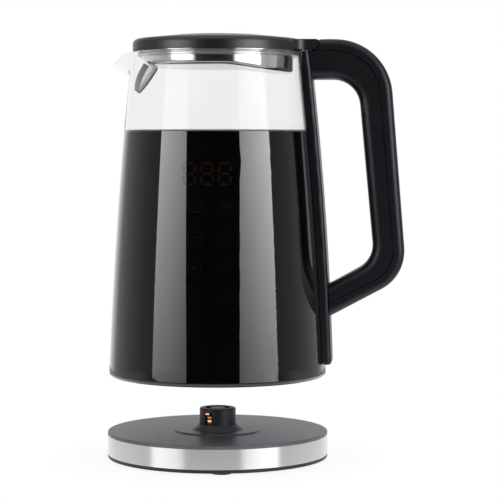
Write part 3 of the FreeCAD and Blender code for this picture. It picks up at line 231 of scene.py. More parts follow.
def clear_glass():
    """Clear glass; its index falls towards the thin pouring lip, which hardly shows."""
    finish = Finish("clear_glass", Transmission_Weight=1.0)
    across = finish.split(finish.place())["X"]
    finish.feed(finish.spread(across, LIP_INDEX, GLASS_INDEX, start=LIP_INDEX_X, end=GLASS_INDEX_X), "IOR")
    finish.colour(grey(0.94), grey(0.95), scale=12.0, detail=1.0)
    finish.polish(0.0, 0.02, scale=50.0, detail=3.0)
    finish.grain(strength=0.03, distance=0.0002, scale=35.0, detail=1.0)
    return finish.material


def silicone():
    finish = Finish("clear_silicone", Transmission_Weight=0.9, IOR=1.15)
    finish.colour(grey(0.86), grey(0.92), scale=60.0, detail=2.0)
    finish.polish(0.08, 0.16, scale=300.0, detail=2.0)
    finish.grain(strength=0.1, distance=0.00005, scale=900.0, detail=2.0)
    return finish.material


def rubber():
    finish = Finish("rubber_black", Specular_IOR_Level=0.3)
    finish.colour(grey(0.012), grey(0.02), scale=160.0, detail=3.0)
    finish.polish(0.65, 0.85, scale=300.0, detail=3.0)
    finish.grain(strength=0.4, distance=0.00005, scale=1800.0, detail=3.0)
    return finish.material


def turned_metal(name, dark, light, rough, lines=9000.0, depth=0.00001, anisotropy=0.0):
    """Metal with fine lines that run round the upright axis."""
    finish = Finish(name, Metallic=1.0, Anisotropic=anisotropy)
    along = finish.around(LINES_PER_TURN, lines)
    streaks = finish.noise(scale=1.0, detail=3.0, vector=along, roughness=0.6)
    finish.feed(finish.tint(streaks, dark, light), "Base Color")
    finish.feed(finish.spread(streaks, *rough), "Roughness")
    finish.bump(streaks, strength=0.18, distance=depth)
    if anisotropy:
        finish.shader.inputs["Anisotropic Rotation"].default_value = QUARTER_TURN
        tangent = finish.add("ShaderNodeTangent", direction_type="RADIAL", axis="Z")
        finish.feed(tangent.outputs[0], "Tangent")
    return finish.material


def plain_metal(name, dark, light, rough):
    finish = Finish(name, Metallic=1.0)
    finish.colour(dark, light, scale=140.0, detail=4.0)
    finish.polish(*rough, scale=420.0, detail=3.0)
    finish.grain(strength=0.12, distance=0.00003, scale=1500.0, detail=2.0)
    return finish.material


def circuit_board():
    finish = Finish("circuit_board", Specular_IOR_Level=0.5)
    tracks = finish.add("ShaderNodeTexBrick")
    tracks.inputs["Scale"].default_value = TRACK_SCALE
    for label, colour in TRACK_COLOURS.items():
        tracks.inputs[label].default_value = colour
    finish.link(finish.place(), tracks.inputs["Vector"])
    finish.feed(tracks.outputs["Color"], "Base Color")
    finish.polish(0.25, 0.4, scale=200.0, detail=2.0)
    finish.bump(tracks.outputs["Fac"], strength=0.2, distance=0.00003)
    return finish.material


def unlit_display(name, share):
    """Amber behind dark gloss; the share says how much of the colour shows through."""
    finish = Finish(name, Coat_Weight=0.5, Coat_Roughness=0.02)
    dark, light = [tuple(part * share for part in tone) + (1.0,) for tone in (AMBER_DARK, AMBER_LIGHT)]
    finish.colour(dark, light, scale=700.0, detail=2.0)
    finish.polish(0.025, 0.05, scale=60.0, detail=4.0)
    return finish.material


def strainer_sheet():
    """Steel sheet with rows of fine holes."""
    finish = Finish("strainer_steel", Metallic=0.7)
    holes = finish.add("ShaderNodeTexVoronoi")
    holes.inputs["Scale"].default_value = HOLE_SCALE
    holes.inputs["Randomness"].default_value = HOLE_RANDOMNESS
    finish.link(finish.place(), holes.inputs["Vector"])
    away = holes.outputs["Distance"]
    finish.feed(finish.tint(away, grey(0.7), grey(0.9), start=0.2, end=0.5), "Base Color")
    finish.polish(0.3, 0.45, scale=500.0, detail=2.0)
    finish.feed(finish.spread(away, 0.05, 1.0, start=0.5, end=0.54), "Alpha")
    finish.bump(away, strength=0.4, distance=0.0001)
    return finish.material


FINISHES = {
    "clear_glass": clear_glass(),
    "gloss_black": gloss_black(),
    "satin_black": moulded("satin_black", tone=0.0032, rough=0.38, blue=1.2, shine=0.6),
    "tower_black": moulded("tower_black", tone=0.02, rough=0.4, blue=1.15, shine=0.5),
    # Painted light: a lighter, shinier copy of the satin black, so that the lid shows brighter than the
    # handle of the same plastic
    "satin_black_lit": moulded("satin_black_lit", tone=0.0045, rough=0.36, blue=1.0, shine=0.9),
    "base_grey": moulded("base_grey", tone=0.085, rough=0.42, blue=1.12, shine=1.0),
    "inner_plastic": moulded("inner_plastic", tone=0.011, rough=0.48),
    "clear_silicone": silicone(),
    "rubber_black": rubber(),
    "polished_steel": turned_metal("polished_steel", grey(0.7), grey(0.76), rough=(0.15, 0.19),
                                   lines=5000.0, depth=0.000004, anisotropy=0.7),
    "inner_steel": turned_metal("inner_steel", grey(0.5), grey(0.6), rough=(0.22, 0.34)),
    "brushed_band": turned_metal("brushed_band", grey(0.66), grey(0.76), rough=(0.26, 0.32), anisotropy=1.0),
    "screw_steel": plain_metal("screw_steel", grey(0.42), grey(0.55), rough=(0.25, 0.4)),
    "spring_steel": plain_metal("spring_steel", grey(0.4), grey(0.52), rough=(0.22, 0.34)),
    "element_metal": plain_metal("element_metal", (0.24, 0.22, 0.2, 1.0), (0.4, 0.37, 0.34, 1.0),
                                 rough=(0.35, 0.55)),
    "aluminium": plain_metal("aluminium", grey(0.6), grey(0.72), rough=(0.3, 0.45)),
    "copper": plain_metal("copper", (0.62, 0.3, 0.13, 1.0), (0.78, 0.42, 0.2, 1.0), rough=(0.2, 0.32)),
    "circuit_board": circuit_board(),
    "display_amber": unlit_display("display_amber", share=0.95),
    "key_faint": unlit_display("key_faint", share=0.9),
    "strainer_grey": moulded("strainer_grey", tone=0.18, rough=0.43, blue=1.0),
    "strainer_steel": strainer_sheet(),
}
for node in frame["record"]["subparts"]:
    nodes[node["node"]].material_slots[0].material = FINISHES[node["material_slot"]]
# The lid, of the same satin black as the handle, takes the lighter copy: painted light
nodes["lid_cover"].material_slots[0].material = FINISHES["satin_black_lit"]
for name in ("base_plug", "plug_centre"):
    nodes[name].material_slots[0].material = FINISHES["tower_black"]


# Mesh helpers
SMOOTH_ANGLE = 40.0
RING_MERGE = 1e-7


def piece(name, mesh, body, slot, smooth_angle=SMOOTH_ANGLE, finish=None):
    """A piece that rides on a body; its finish is the slot's unless another is named."""
    for face in mesh.polygons:
        face.use_smooth = True
    mesh.set_sharp_from_angle(angle=math.radians(smooth_angle))
    mesh.materials.append(FINISHES[finish or slot])
    item = bpy.data.objects.new(name, mesh)
    bpy.context.scene.collection.objects.link(item)
    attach(item, body)
    return item


def rings_mesh(name, rings, closed=True):
    """Join rings of points into a skin; it joins the last ring to the first, or else caps both."""
    count = len(rings[0])
    points = [point for ring in rings for point in ring]
    faces = []
    for row in range(len(rings) if closed else len(rings) - 1):
        low = row * count
        high = (row + 1) % len(rings) * count
        for column in range(count):
            after = (column + 1) % count
            faces.append((low + column, low + after, high + after, high + column))
    if not closed:
        faces.append(tuple(reversed(range(count))))
        faces.append(tuple(range(len(points) - count, len(points))))
    mesh = bpy.data.meshes.new(name)
    mesh.from_pydata(points, [], faces)
    joined = bmesh.new()
    joined.from_mesh(mesh)
    bmesh.ops.remove_doubles(joined, verts=joined.verts, dist=RING_MERGE)
    bmesh.ops.recalc_face_normals(joined, faces=joined.faces)
    joined.to_mesh(mesh)
    joined.free()
    return mesh


def raised(rings):
    """Points in millimetres from the kettle's underside, moved into the frame in metres."""
    return [[(x * MM, y * MM, z * MM + KETTLE_RISE) for x, y, z in ring] for ring in rings]


def skin(name, rings, body, slot, closed=True, **settings):
    """A piece made of rings that are measured from the kettle's underside."""
    return piece(name, rings_mesh(name, raised(rings), closed), body, slot, **settings)


# Handle spine: the solid's own faces with a rounded foot, its narrow rounds shaded from their neighbours
SPINE_SHARP = 35.0
SPINE_MERGE = 1e-6
FLAT_LIMIT = math.radians(0.3)
FOOT_ROUND = 2.0 * MM
FOOT_STEPS = 5
BROAD_WEIGHT = 100


def round_foot(mesh):
    """Draw the spine's lowest end in towards its middle, along a quarter circle."""
    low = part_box("handle_spine")[0][2]
    for step in range(1, FOOT_STEPS + 1):
        level = low + FOOT_ROUND * (1.0 - math.cos(math.radians(90.0 * step / FOOT_STEPS)))
        bmesh.ops.bisect_plane(mesh, geom=mesh.verts[:] + mesh.edges[:] + mesh.faces[:],
                               plane_co=(0.0, 0.0, level), plane_no=(0.0, 0.0, 1.0))
    foot = [vertex for vertex in mesh.verts if vertex.co.z < low + FOOT_ROUND]
    near = min(vertex.co.x for vertex in foot)
    far = max(vertex.co.x for vertex in foot)
    half = max(vertex.co.y for vertex in foot)
    for vertex in foot:
        rise = FOOT_ROUND - max(vertex.co.z - low, 0.0)
        inset = FOOT_ROUND - math.sqrt(FOOT_ROUND ** 2 - rise ** 2)
        vertex.co.x += inset * (near + far - 2.0 * vertex.co.x) / (far - near)
        vertex.co.y -= inset * vertex.co.y / half


def handle_spine():
    solid = nodes["handle_spine"].data
    points = [vertex.co for vertex in solid.vertices]
    faces = [tuple(face.vertices) for face in solid.polygons]
    mesh = bpy.data.meshes.new("handle_spine_skin")
    mesh.from_pydata(points, [], faces)
    joined = bmesh.new()
    joined.from_mesh(mesh)
    bmesh.ops.remove_doubles(joined, verts=joined.verts, dist=SPINE_MERGE)
    bmesh.ops.dissolve_limit(joined, angle_limit=FLAT_LIMIT, verts=joined.verts, edges=joined.edges)
    round_foot(joined)
    joined.to_mesh(mesh)
    joined.free()
    spine = piece("handle_spine_skin", mesh, "kettle", "satin_black", SPINE_SHARP)
    even = spine.modifiers.new("even_normals", "WEIGHTED_NORMAL")
    even.weight = BROAD_WEIGHT
    even.keep_sharp = True
    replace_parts(spine, "handle_spine")


handle_spine()


# Glass jug with its pulled pouring lip
WAIST_RADIUS = 64.1
WAIST_HEIGHT = 168.8
RIM_RADIUS = 58.9
RIM_HEIGHT = 221.5
RIM_CROWN = 0.7
RIM_CROWN_INSETS = (0.9, 2.1)
WAIST_BEND = 0.25
GLASS_WALL = 3.0
TUBE_TOP = 56.4
TUBE_FOOT = 58.6
TUBE_FOOT_HEIGHT = 27.4
TUBE_WALL = 2.8
NECK_RADIUS = 61.7
NECK_HIGH = 165.0
NECK_LOW = 153.5
LIP_ANGLE = 180.0
LIP_REACH = 13.3
LIP_DROP = 8.6
LIP_DROP_POWER = 2.2
LIP_HALF_ANGLE = 9.0
LIP_START = 206.3
LIP_INNER_RISE = 0.8
LIP_INNER_REACH = 0.35
WALL_ROWS = 8
LIP_ROWS = 14
FINE_STEP = 0.75
FINE_STEPS = 40
COARSE_STEP = 3.0
COARSE_STEPS = 100
JUG_SMOOTH_ANGLE = 50.0


def wall_radius(height):
    share = (height - WAIST_HEIGHT) / (RIM_HEIGHT - WAIST_HEIGHT)
    return WAIST_RADIUS + (RIM_RADIUS - WAIST_RADIUS) * share


def jug_angles():
    """Angles round the jug, close together near the lip."""
    fine = [LIP_ANGLE + step * FINE_STEP for step in range(-FINE_STEPS, FINE_STEPS + 1)]
    coarse = [fine[-1] + step * COARSE_STEP for step in range(1, COARSE_STEPS)]
    return [math.radians(angle) for angle in fine + coarse]


def lip_share(angle):
    off = math.degrees(angle) - LIP_ANGLE
    off = (off + 180.0) % 360.0 - 180.0
    return math.exp(-(off / LIP_HALF_ANGLE) ** 2)


def lip_ring(angles, share, inset=0.0):
    """One ring of the wall above the lip's start; share runs from the start (0) to the rim (1)."""
    ring = []
    for angle in angles:
        pull = lip_share(angle)
        rim = RIM_HEIGHT - LIP_DROP * pull ** LIP_DROP_POWER
        height = LIP_START + (rim - LIP_START) * share + inset * pull * LIP_INNER_RISE
        swell = share * share * (3.0 - 2.0 * share)
        radius = wall_radius(height) - inset
        reach = (LIP_REACH - inset * LIP_INNER_REACH) * pull * swell
        ring.append((radius * math.cos(angle) - reach, radius * math.sin(angle), height))
    return ring


def round_ring(angles, radius, height):
    return [(radius * math.cos(angle), radius * math.sin(angle), height) for angle in angles]


def glass_jug():
    angles = jug_angles()
    shares = [step / LIP_ROWS for step in range(LIP_ROWS + 1)]
    levels = [WAIST_HEIGHT + (LIP_START - WAIST_HEIGHT) * step / WALL_ROWS for step in range(1, WALL_ROWS)]
    outside = [(TUBE_FOOT, TUBE_FOOT_HEIGHT), (TUBE_TOP, NECK_LOW), (NECK_RADIUS, NECK_HIGH),
               (NECK_RADIUS, WAIST_HEIGHT), (WAIST_RADIUS, WAIST_HEIGHT)]
    outside += [(wall_radius(height), height) for height in levels]
    inside = [(wall_radius(height) - GLASS_WALL, height)
              for height in levels[::-1] + [WAIST_HEIGHT + WAIST_BEND, WAIST_HEIGHT]]
    inside += [(NECK_RADIUS - TUBE_WALL, NECK_HIGH), (TUBE_TOP - TUBE_WALL, NECK_LOW),
               (TUBE_FOOT - TUBE_WALL, TUBE_FOOT_HEIGHT)]
    rings = [round_ring(angles, radius, height) for radius, height in outside]
    rings += [lip_ring(angles, share) for share in shares]
    for inset in RIM_CROWN_INSETS:
        rings.append([(x, y, z + RIM_CROWN) for x, y, z in lip_ring(angles, 1.0, inset)])
    rings += [lip_ring(angles, share, GLASS_WALL) for share in reversed(shares)]
    rings += [round_ring(angles, radius, height) for radius, height in inside]
    jug = skin("glass_jug_skin", rings, "kettle", "clear_glass", smooth_angle=JUG_SMOOTH_ANGLE)
    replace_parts(jug, "glass_jug")


glass_jug()


# Polished liner under the lid: a flange, and a bowl that deepens towards the hinge
LID_LOW = 223.6
LID_STEPS = 144
LINER_RADIUS = 52.2
LINER_SHEET = 0.8
FLANGE_RADIUS = 57.2
FLANGE_DEPTH = 1.6
BOWL_DEPTH = 11.2
BOWL_HINGE_DEPTH = 16.2
BOWL_BEND = 12.0
BOWL_ROUND = 2.4
BOWL_SPOUT_ROUND = 6.2
BOWL_SPOUT_POWER = 3
BOWL_ROUND_ROWS = 6
BOWL_FLOOR_ROWS = 5


def lid_angles():
    return [math.radians(360.0 * step / LID_STEPS) for step in range(LID_STEPS)]


def bowl_ring(angles, share, inset):
    """One ring of the bowl; share runs from the wall's top (0) through its round (1) to the middle (2)."""
    ring = []
    for angle in angles:
        across = math.cos(angle)
        fillet = BOWL_ROUND + BOWL_SPOUT_ROUND * max(0.0, -across) ** BOWL_SPOUT_POWER - inset
        turn = math.radians(90.0 * min(share, 1.0))
        radius = LINER_RADIUS - inset - fillet * (1.0 - math.cos(turn))
        reach = radius * (2.0 - max(share, 1.0))
        slope_reach = reach if share > 1.0 else LINER_RADIUS
        slope = max(0.0, (slope_reach * across - BOWL_BEND) / (LINER_RADIUS - BOWL_BEND))
        low = LID_LOW - BOWL_DEPTH - (BOWL_HINGE_DEPTH - BOWL_DEPTH) * slope + inset
        ring.append((reach * across, reach * math.sin(angle), low + fillet * (1.0 - math.sin(turn))))
    return ring


def lid_liner():
    angles = lid_angles()
    shares = [step / BOWL_ROUND_ROWS for step in range(BOWL_ROUND_ROWS + 1)]
    shares += [1.0 + step / BOWL_FLOOR_ROWS for step in range(1, BOWL_FLOOR_ROWS + 1)]
    rings = [round_ring(angles, FLANGE_RADIUS, LID_LOW),
             round_ring(angles, FLANGE_RADIUS, LID_LOW - FLANGE_DEPTH),
             round_ring(angles, LINER_RADIUS, LID_LOW - FLANGE_DEPTH)]
    rings += [bowl_ring(angles, share, 0.0) for share in shares]
    rings += [bowl_ring(angles, share, LINER_SHEET) for share in reversed(shares)]
    rings.append(round_ring(angles, LINER_RADIUS - LINER_SHEET, LID_LOW))
    liner = skin("lid_liner_skin", rings, "lid", "polished_steel")
    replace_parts(liner, "lid_liner")


lid_liner()


# Skirt under the lid's edge, and concave corners that join the tongue to the lid's round side
LID_RADIUS = 58.0
LID_INSIDE = 53.0
TONGUE_HALF = 14.5
TONGUE_TOP = 230.5
TONGUE_EDGE = 0.8
CORNER_ROUND = 8.0
CORNER_STEPS = 8
CORNER_SPARE = 3.0
CORNER_BITE = 1.5
SKIRT_DEPTH = 1.1
SKIRT_BITE = 0.3
SKIRT_WALL = 0.6


def corner_ring(side, radius, height):
    """One level of a corner: its hollow arc, then three points hidden inside the lid and the tongue."""
    centre_y = TONGUE_HALF + CORNER_ROUND
    centre_x = math.sqrt((LID_RADIUS + CORNER_ROUND) ** 2 - centre_y ** 2)
    first = 270.0
    last = math.degrees(math.atan2(-centre_y, -centre_x)) % 360.0
    points = []
    for step in range(CORNER_STEPS + 1):
        turn = math.radians(first + (last - first) * step / CORNER_STEPS)
        points.append((centre_x + radius * math.cos(turn), centre_y + radius * math.sin(turn)))
    points += [(LID_INSIDE, TONGUE_HALF + CORNER_SPARE), (LID_INSIDE, TONGUE_HALF - CORNER_BITE),
               (centre_x, TONGUE_HALF - CORNER_BITE)]
    return [(x, side * y, height) for x, y in points]


def lid_skirt():
    angles = lid_angles()
    low = LID_LOW - SKIRT_DEPTH
    high = LID_LOW + SKIRT_BITE
    inner = LID_RADIUS - SKIRT_WALL
    profile = ((LID_RADIUS, high), (LID_RADIUS, low), (inner, low), (inner, high))
    rings = [round_ring(angles, radius, height) for radius, height in profile]
    # The skirt takes the lid's lighter copy of the satin black: painted light
    skin("lid_skirt", rings, "lid", "satin_black", finish="satin_black_lit")


def lid_corners():
    levels = ((CORNER_ROUND, LID_LOW), (CORNER_ROUND, TONGUE_TOP - TONGUE_EDGE),
              (CORNER_ROUND + TONGUE_EDGE, TONGUE_TOP))
    for name, side in (("lid_corner_near", -1.0), ("lid_corner_far", 1.0)):
        rings = [corner_ring(side, radius, height) for radius, height in levels]
        # The corners take the lid's lighter copy of the satin black: painted light
        skin(name, rings, "lid", "satin_black", closed=False, finish="satin_black_lit")


lid_skirt()
lid_corners()


# Strip behind the seam at the handle's lower bend, so that no light passes between cover and grip
BEND_X = 99.5
BEND_HEIGHT = 86.9
BEND_RADIUS = 21.4
BEND_START = -63.0
BEND_END = 4.9
BEND_STEPS = 14
STRIP_HALF_WIDTH = 3.0
STRIP_HALF_DEPTH = 1.5
STRIP_TAIL = 14.0


def strip_ring(turn, along):
    """Four corners of the strip at an angle of the bend, moved along the bend's tangent."""
    ring = []
    for side, depth in ((-1.0, -1.0), (-1.0, 1.0), (1.0, 1.0), (1.0, -1.0)):
        radius = BEND_RADIUS + depth * STRIP_HALF_DEPTH
        ring.append((BEND_X + radius * math.cos(turn) - along * math.sin(turn), side * STRIP_HALF_WIDTH,
                     BEND_HEIGHT + radius * math.sin(turn) + along * math.cos(turn)))
    return ring


def seam_strip():
    turns = [math.radians(BEND_START + (BEND_END - BEND_START) * step / BEND_STEPS)
             for step in range(BEND_STEPS + 1)]
    rings = [strip_ring(turns[0], -STRIP_TAIL)]
    rings += [strip_ring(turn, 0.0) for turn in turns]
    rings.append(strip_ring(turns[-1], STRIP_TAIL))
    skin("handle_seam_strip", rings, "kettle", "satin_black", closed=False)


seam_strip()


# Button spring in the handle, as a coil of round wire
SPRING_RADIUS = 3.0 * MM
SPRING_WIRE = 0.45 * MM
SPRING_TURNS = 5
SPRING_TURN_STEPS = 24
SPRING_SMOOTH_ANGLE = 60.0
WIRE_SIDES = 10


def button_spring():
    low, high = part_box("button_spring")
    middle = high[0] - SPRING_RADIUS - SPRING_WIRE
    steps = SPRING_TURNS * SPRING_TURN_STEPS
    rings = []
    for step in range(steps + 1):
        turn = math.tau * step / SPRING_TURN_STEPS
        level = low[2] + SPRING_WIRE + (high[2] - low[2] - 2.0 * SPRING_WIRE) * step / steps
        ring = []
        for side in range(WIRE_SIDES):
            around = math.tau * side / WIRE_SIDES
            reach = SPRING_RADIUS + SPRING_WIRE * math.cos(around)
            ring.append((middle + reach * math.cos(turn), reach * math.sin(turn),
                         level + SPRING_WIRE * math.sin(around)))
        rings.append(ring)
    mesh = rings_mesh("button_coil", rings, False)
    spring = piece("button_coil", mesh, "kettle", "spring_steel", SPRING_SMOOTH_ANGLE)
    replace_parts(spring, "button_spring")
    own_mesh(spring)


button_spring()


# Spout strainer: a leaf-shaped rim with a sheet of fine mesh on its inner side
STRAINER_X = -56.6
STRAINER_LOW = 195.4
STRAINER_LEAN = math.radians(31.0)
STRAINER_HALF = 21.0
STRAINER_TALL = 20.8
LEAF_POWER = 1.15
LEAF_STEPS = 36
RIM_HALF_DEPTH = 1.9
RIM_WALL = 1.2
SHEET_DEPTH = 1.2
SHEET_THICKNESS = 0.4


def strainer_point(across, up, depth):
    """A point of the strainer: sideways, up its leaning plane, and out of the plane towards the jug."""
    x = STRAINER_X + up * math.sin(STRAINER_LEAN) + depth * math.cos(STRAINER_LEAN)
    z = STRAINER_LOW + up * math.cos(STRAINER_LEAN) - depth * math.sin(STRAINER_LEAN)
    return (x, across, z)


def leaf(turn, inset=0.0):
    """A point on the leaf's edge: turn runs from one top end (-90) through the tip (0) to the other (90)."""
    angle = math.radians(turn)
    across = (STRAINER_HALF - inset) * math.copysign(abs(math.sin(angle)) ** LEAF_POWER, angle)
    return across, inset + (STRAINER_TALL - inset) * (1.0 - math.cos(angle))


def strainer():
    turns = [180.0 * step / LEAF_STEPS - 90.0 for step in range(LEAF_STEPS + 1)]
    rings = []
    for turn in turns:
        outer = leaf(turn)
        inner = leaf(turn, RIM_WALL)
        rings.append([strainer_point(*outer, -RIM_HALF_DEPTH), strainer_point(*outer, RIM_HALF_DEPTH),
                      strainer_point(*inner, RIM_HALF_DEPTH), strainer_point(*inner, -RIM_HALF_DEPTH)])
    rim = skin("strainer_rim", rings, "kettle", "strainer_grey", closed=False)
    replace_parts(rim, "strainer_frame")
    near = SHEET_DEPTH - SHEET_THICKNESS
    rings = []
    for turn in turns[LEAF_STEPS // 2 + 1:]:
        across, up = leaf(turn, RIM_WALL)
        rings.append([strainer_point(-across, up, near), strainer_point(across, up, near),
                      strainer_point(across, up, SHEET_DEPTH), strainer_point(-across, up, SHEET_DEPTH)])
    sheet = skin("strainer_sheet", rings, "kettle", "strainer_steel", closed=False)
    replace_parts(sheet, "strainer_mesh")


strainer()


# Bent contact springs in the windows of the connector tower; their path is distance out, sideways and height
TOWER_COLLAR = 4.2
CONTACT_ANGLES = (-114.5, 65.5)
CONTACT_HALF = 1.5
CONTACT_SHEET = 0.35
CONTACT_PATH = (
    (10.6, -1.1, 13.0), (11.9, -1.1, 12.6), (12.2, -1.1, 11.6), (11.7, -1.0, 10.6),
    (10.9, -0.6, 10.0), (10.9, 0.2, 9.2), (11.6, 0.5, 8.6), (12.1, 0.6, 7.6),
    (12.2, 0.7, 6.4), (11.9, 0.7, 5.4), (10.6, 0.7, 4.9),
)


def contact_springs():
    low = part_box("base_top")[1][2] - TOWER_COLLAR * MM
    both = bmesh.new()
    for degrees in CONTACT_ANGLES:
        turn = math.radians(degrees)
        rings = []
        for reach, shift, height in CONTACT_PATH:
            ring = []
            for out, across in ((0, -1), (0, 1), (-CONTACT_SHEET, 1), (-CONTACT_SHEET, -1)):
                side = shift + across * CONTACT_HALF
                radius = reach + out
                ring.append(((radius * math.cos(turn) - side * math.sin(turn)) * MM,
                             (radius * math.sin(turn) + side * math.cos(turn)) * MM, low + height * MM))
            rings.append(ring)
        both.from_mesh(rings_mesh("contact_spring", rings, False))
    mesh = bpy.data.meshes.new("contact_springs")
    both.to_mesh(mesh)
    both.free()
    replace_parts(piece("contact_springs", mesh, "base", "copper"), "plug_contacts")


contact_springs()


# Marks behind the gloss front: three unlit digits and the touch keys
BOTTOM_RADIUS = 74.8
EDGE_HEIGHT = 3.0
SHELL_TOP = 168.0
BULGE_SPAN = 7000.0
MARK_PROUD = 0.05
PANEL_ANGLE = math.radians(-90.0)
DIGIT_HEIGHT = 140.0
DIGIT_TALL = 15.2
DIGIT_WIDE = 9.2
DIGIT_PITCH = 11.8
ACROSS_GAP = 1.4
UPRIGHT_GAP = 2.2
STROKE = 1.5
TIP_FLAT = 0.05
LEAST_CORNER = 0.05
CORNER_PARTS = 6
KEY_COLUMNS = (-8.0, 12.0)
KEY_ROWS = (118.9, 98.5, 78.2, 58.6)
# Outlines: column, row, shift up, width, height, corner radius and stroke
KEY_OUTLINES = (
    (0, 0, 0.8, 10.6, 5.0, 1.8, 0.7), (1, 0, 0.0, 6.6, 6.6, 3.2, 0.5), (0, 1, 0.0, 10.8, 7.8, 2.0, 0.7),
    (1, 1, 0.0, 8.2, 8.2, 4.0, 0.5), (0, 2, 0.0, 9.6, 9.6, 4.7, 0.4), (1, 2, 0.0, 9.6, 9.6, 4.7, 0.4),
    (1, 3, 0.0, 7.0, 7.0, 3.4, 0.5),
)
# Bars: column, row, shift across, shift up, length, thickness, and whether it stands upright
KEY_BARS = (
    (0, 0, 0.0, -3.8, 8.4, 0.7, False), (1, 0, 1.0, 0.0, 7.0, 0.6, False), (0, 1, 0.0, 0.0, 4.4, 0.7, False),
    (1, 1, 0.0, 0.0, 4.0, 0.5, True), (1, 2, 0.0, 0.0, 5.4, 0.9, False), (1, 3, 0.0, 2.6, 3.2, 0.6, True),
    (0, 3, -2.8, 0.0, 5.6, 0.6, True), (0, 3, 0.0, 0.0, 5.6, 0.6, True), (0, 3, 2.8, 0.0, 5.6, 0.6, True),
)
PLUS_BARS = ((0, 2, 0.0, 0.0, 3.6, 0.9, False), (0, 2, 0.0, 0.0, 3.6, 0.9, True))


def shell_radius(height):
    share = (height - EDGE_HEIGHT) / (SHELL_TOP - EDGE_HEIGHT)
    bulge = (height - EDGE_HEIGHT) * (SHELL_TOP - height) / BULGE_SPAN
    return BOTTOM_RADIUS + (WAIST_RADIUS - BOTTOM_RADIUS) * share + bulge


def on_shell(across, height):
    """A point just proud of the shell, a distance sideways from the middle of the panel."""
    radius = shell_radius(height) + MARK_PROUD
    angle = PANEL_ANGLE + across / radius
    return (radius * math.cos(angle) * MM, radius * math.sin(angle) * MM, height * MM + KETTLE_RISE)


def add_patch(mesh, low_edge, high_edge):
    """A strip between two edges of as many points, laid on the shell."""
    low = [mesh.verts.new(on_shell(*spot)) for spot in low_edge]
    high = [mesh.verts.new(on_shell(*spot)) for spot in high_edge]
    for index in range(len(low) - 1):
        mesh.faces.new((low[index], low[index + 1], high[index + 1], high[index]))


def bar(across, height, length, thickness, upright):
    """The two long edges of a bar with pointed ends, as in a seven-segment digit."""
    half = length / 2
    tip = thickness / 2
    steps = [-half, -half + tip, -half / 2, 0.0, half / 2, half - tip, half]
    low = [(step, -min(tip, half - abs(step) + TIP_FLAT)) for step in steps]
    high = [(step, -rise) for step, rise in low]
    if upright:
        low, high = [(-y, x) for x, y in low], [(-y, x) for x, y in high]
    return tuple([(across + x, height + y) for x, y in edge] for edge in (low, high))


def digit_bars(across):
    wide = DIGIT_WIDE - STROKE
    tall = (DIGIT_TALL - STROKE) / 2
    bars = []
    for level in (-tall, 0.0, tall):
        bars.append(bar(across, DIGIT_HEIGHT + level, wide - ACROSS_GAP, STROKE, False))
    for side in (-wide / 2, wide / 2):
        for level in (-tall / 2, tall / 2):
            bars.append(bar(across + side, DIGIT_HEIGHT + level, tall - UPRIGHT_GAP, STROKE, True))
    return bars


def outline(across, height, wide, tall, corner, stroke):
    """The outer and inner edges of a closed outline with rounded corners."""
    edges = []
    for inset in (0.0, stroke):
        radius = max(corner - inset, LEAST_CORNER)
        reach = wide / 2 - inset - radius
        rise = tall / 2 - inset - radius
        edge = []
        for quarter, (side, level) in enumerate(((1, 1), (-1, 1), (-1, -1), (1, -1))):
            for step in range(CORNER_PARTS + 1):
                angle = math.radians(90.0 * (quarter + step / CORNER_PARTS))
                edge.append((across + side * reach + radius * math.cos(angle),
                             height + level * rise + radius * math.sin(angle)))
        edges.append(edge + edge[:1])
    return tuple(edges)


def key_bars(bars):
    return [bar(KEY_COLUMNS[column] + across, KEY_ROWS[row] + up, *shape)
            for column, row, across, up, *shape in bars]


def key_marks():
    """The touch keys, in two columns of four."""
    outlines = [outline(KEY_COLUMNS[column], KEY_ROWS[row] + up, *shape)
                for column, row, up, *shape in KEY_OUTLINES]
    return outlines + key_bars(KEY_BARS)


def marks(name, strips, finish="display_amber"):
    mesh = bmesh.new()
    for low_edge, high_edge in strips:
        add_patch(mesh, low_edge, high_edge)
    data = bpy.data.meshes.new(name)
    mesh.to_mesh(data)
    mesh.free()
    piece(name, data, "kettle", "display_amber", finish=finish)


marks("display_digits", [strip for step in (-1, 0, 1) for strip in digit_bars(step * DIGIT_PITCH)])
marks("key_marks", key_marks(), "key_faint")
marks("plus_mark", key_bars(PLUS_BARS))


# Stage: floor, lights and camera
CAMERA_TURN = math.radians(5.0)
CAMERA_AWAY = 1.31
CAMERA_HEIGHT = 0.2141
CAMERA_SIDE = 0.0224
AIM_HEIGHT = 0.1438
CAMERA_LENS = 136.8
SENSOR_WIDTH = 36.0
RIGHT = Vector((math.cos(CAMERA_TURN), math.sin(CAMERA_TURN), 0.0))
FORWARD = Vector((-math.sin(CAMERA_TURN), math.cos(CAMERA_TURN), 0.0))
UP = Vector((0.0, 0.0, 1.0))
NO_BOUNCE = 0.5  # a ray with a lower glossy depth hasn't met a glossy surface yet

# Falls of light: the value at the start, the value at the end, and where the two are
LAMP_FOOT = (0.28, 1.0, 0.05, 0.38)
LAMP_HEAD = (1.0, 0.25, 0.45, 0.6)
DULL_AWAY = (1.0, 0.42, 0.28, 0.45)
DULL_FRONT = (1.0, 0.02, 0.02, 0.65)
SHADOW_SHARE = (0.1, 0.0, 0.076, 0.12)
CEILING = (0.0, 0.75, 0.35, 0.8)

LAMP_AWAY = 1.2
LAMP_HEIGHT = 0.55
LAMP_TALL = 1.3
FLOOR_RADIUS = 1.4
FLOOR_FORWARD = 0.8
FLOOR_SIDES = 96
# Tones of the room from straight behind the kettle (0) to straight behind the camera (1)
ROOM_TONES = ((0.0, 0.95), (0.06, 0.85), (0.14, 0.42), (0.35, 0.34),
              (0.55, 0.23), (0.8, 0.17), (0.9, 0.015), (1.0, 0.005))
ROOM_CAP = 0.95
GLASS_LIFT = 1.2


def aim(item, target):
    item.rotation_euler = (target - item.location).to_track_quat("-Z", "Y").to_euler()


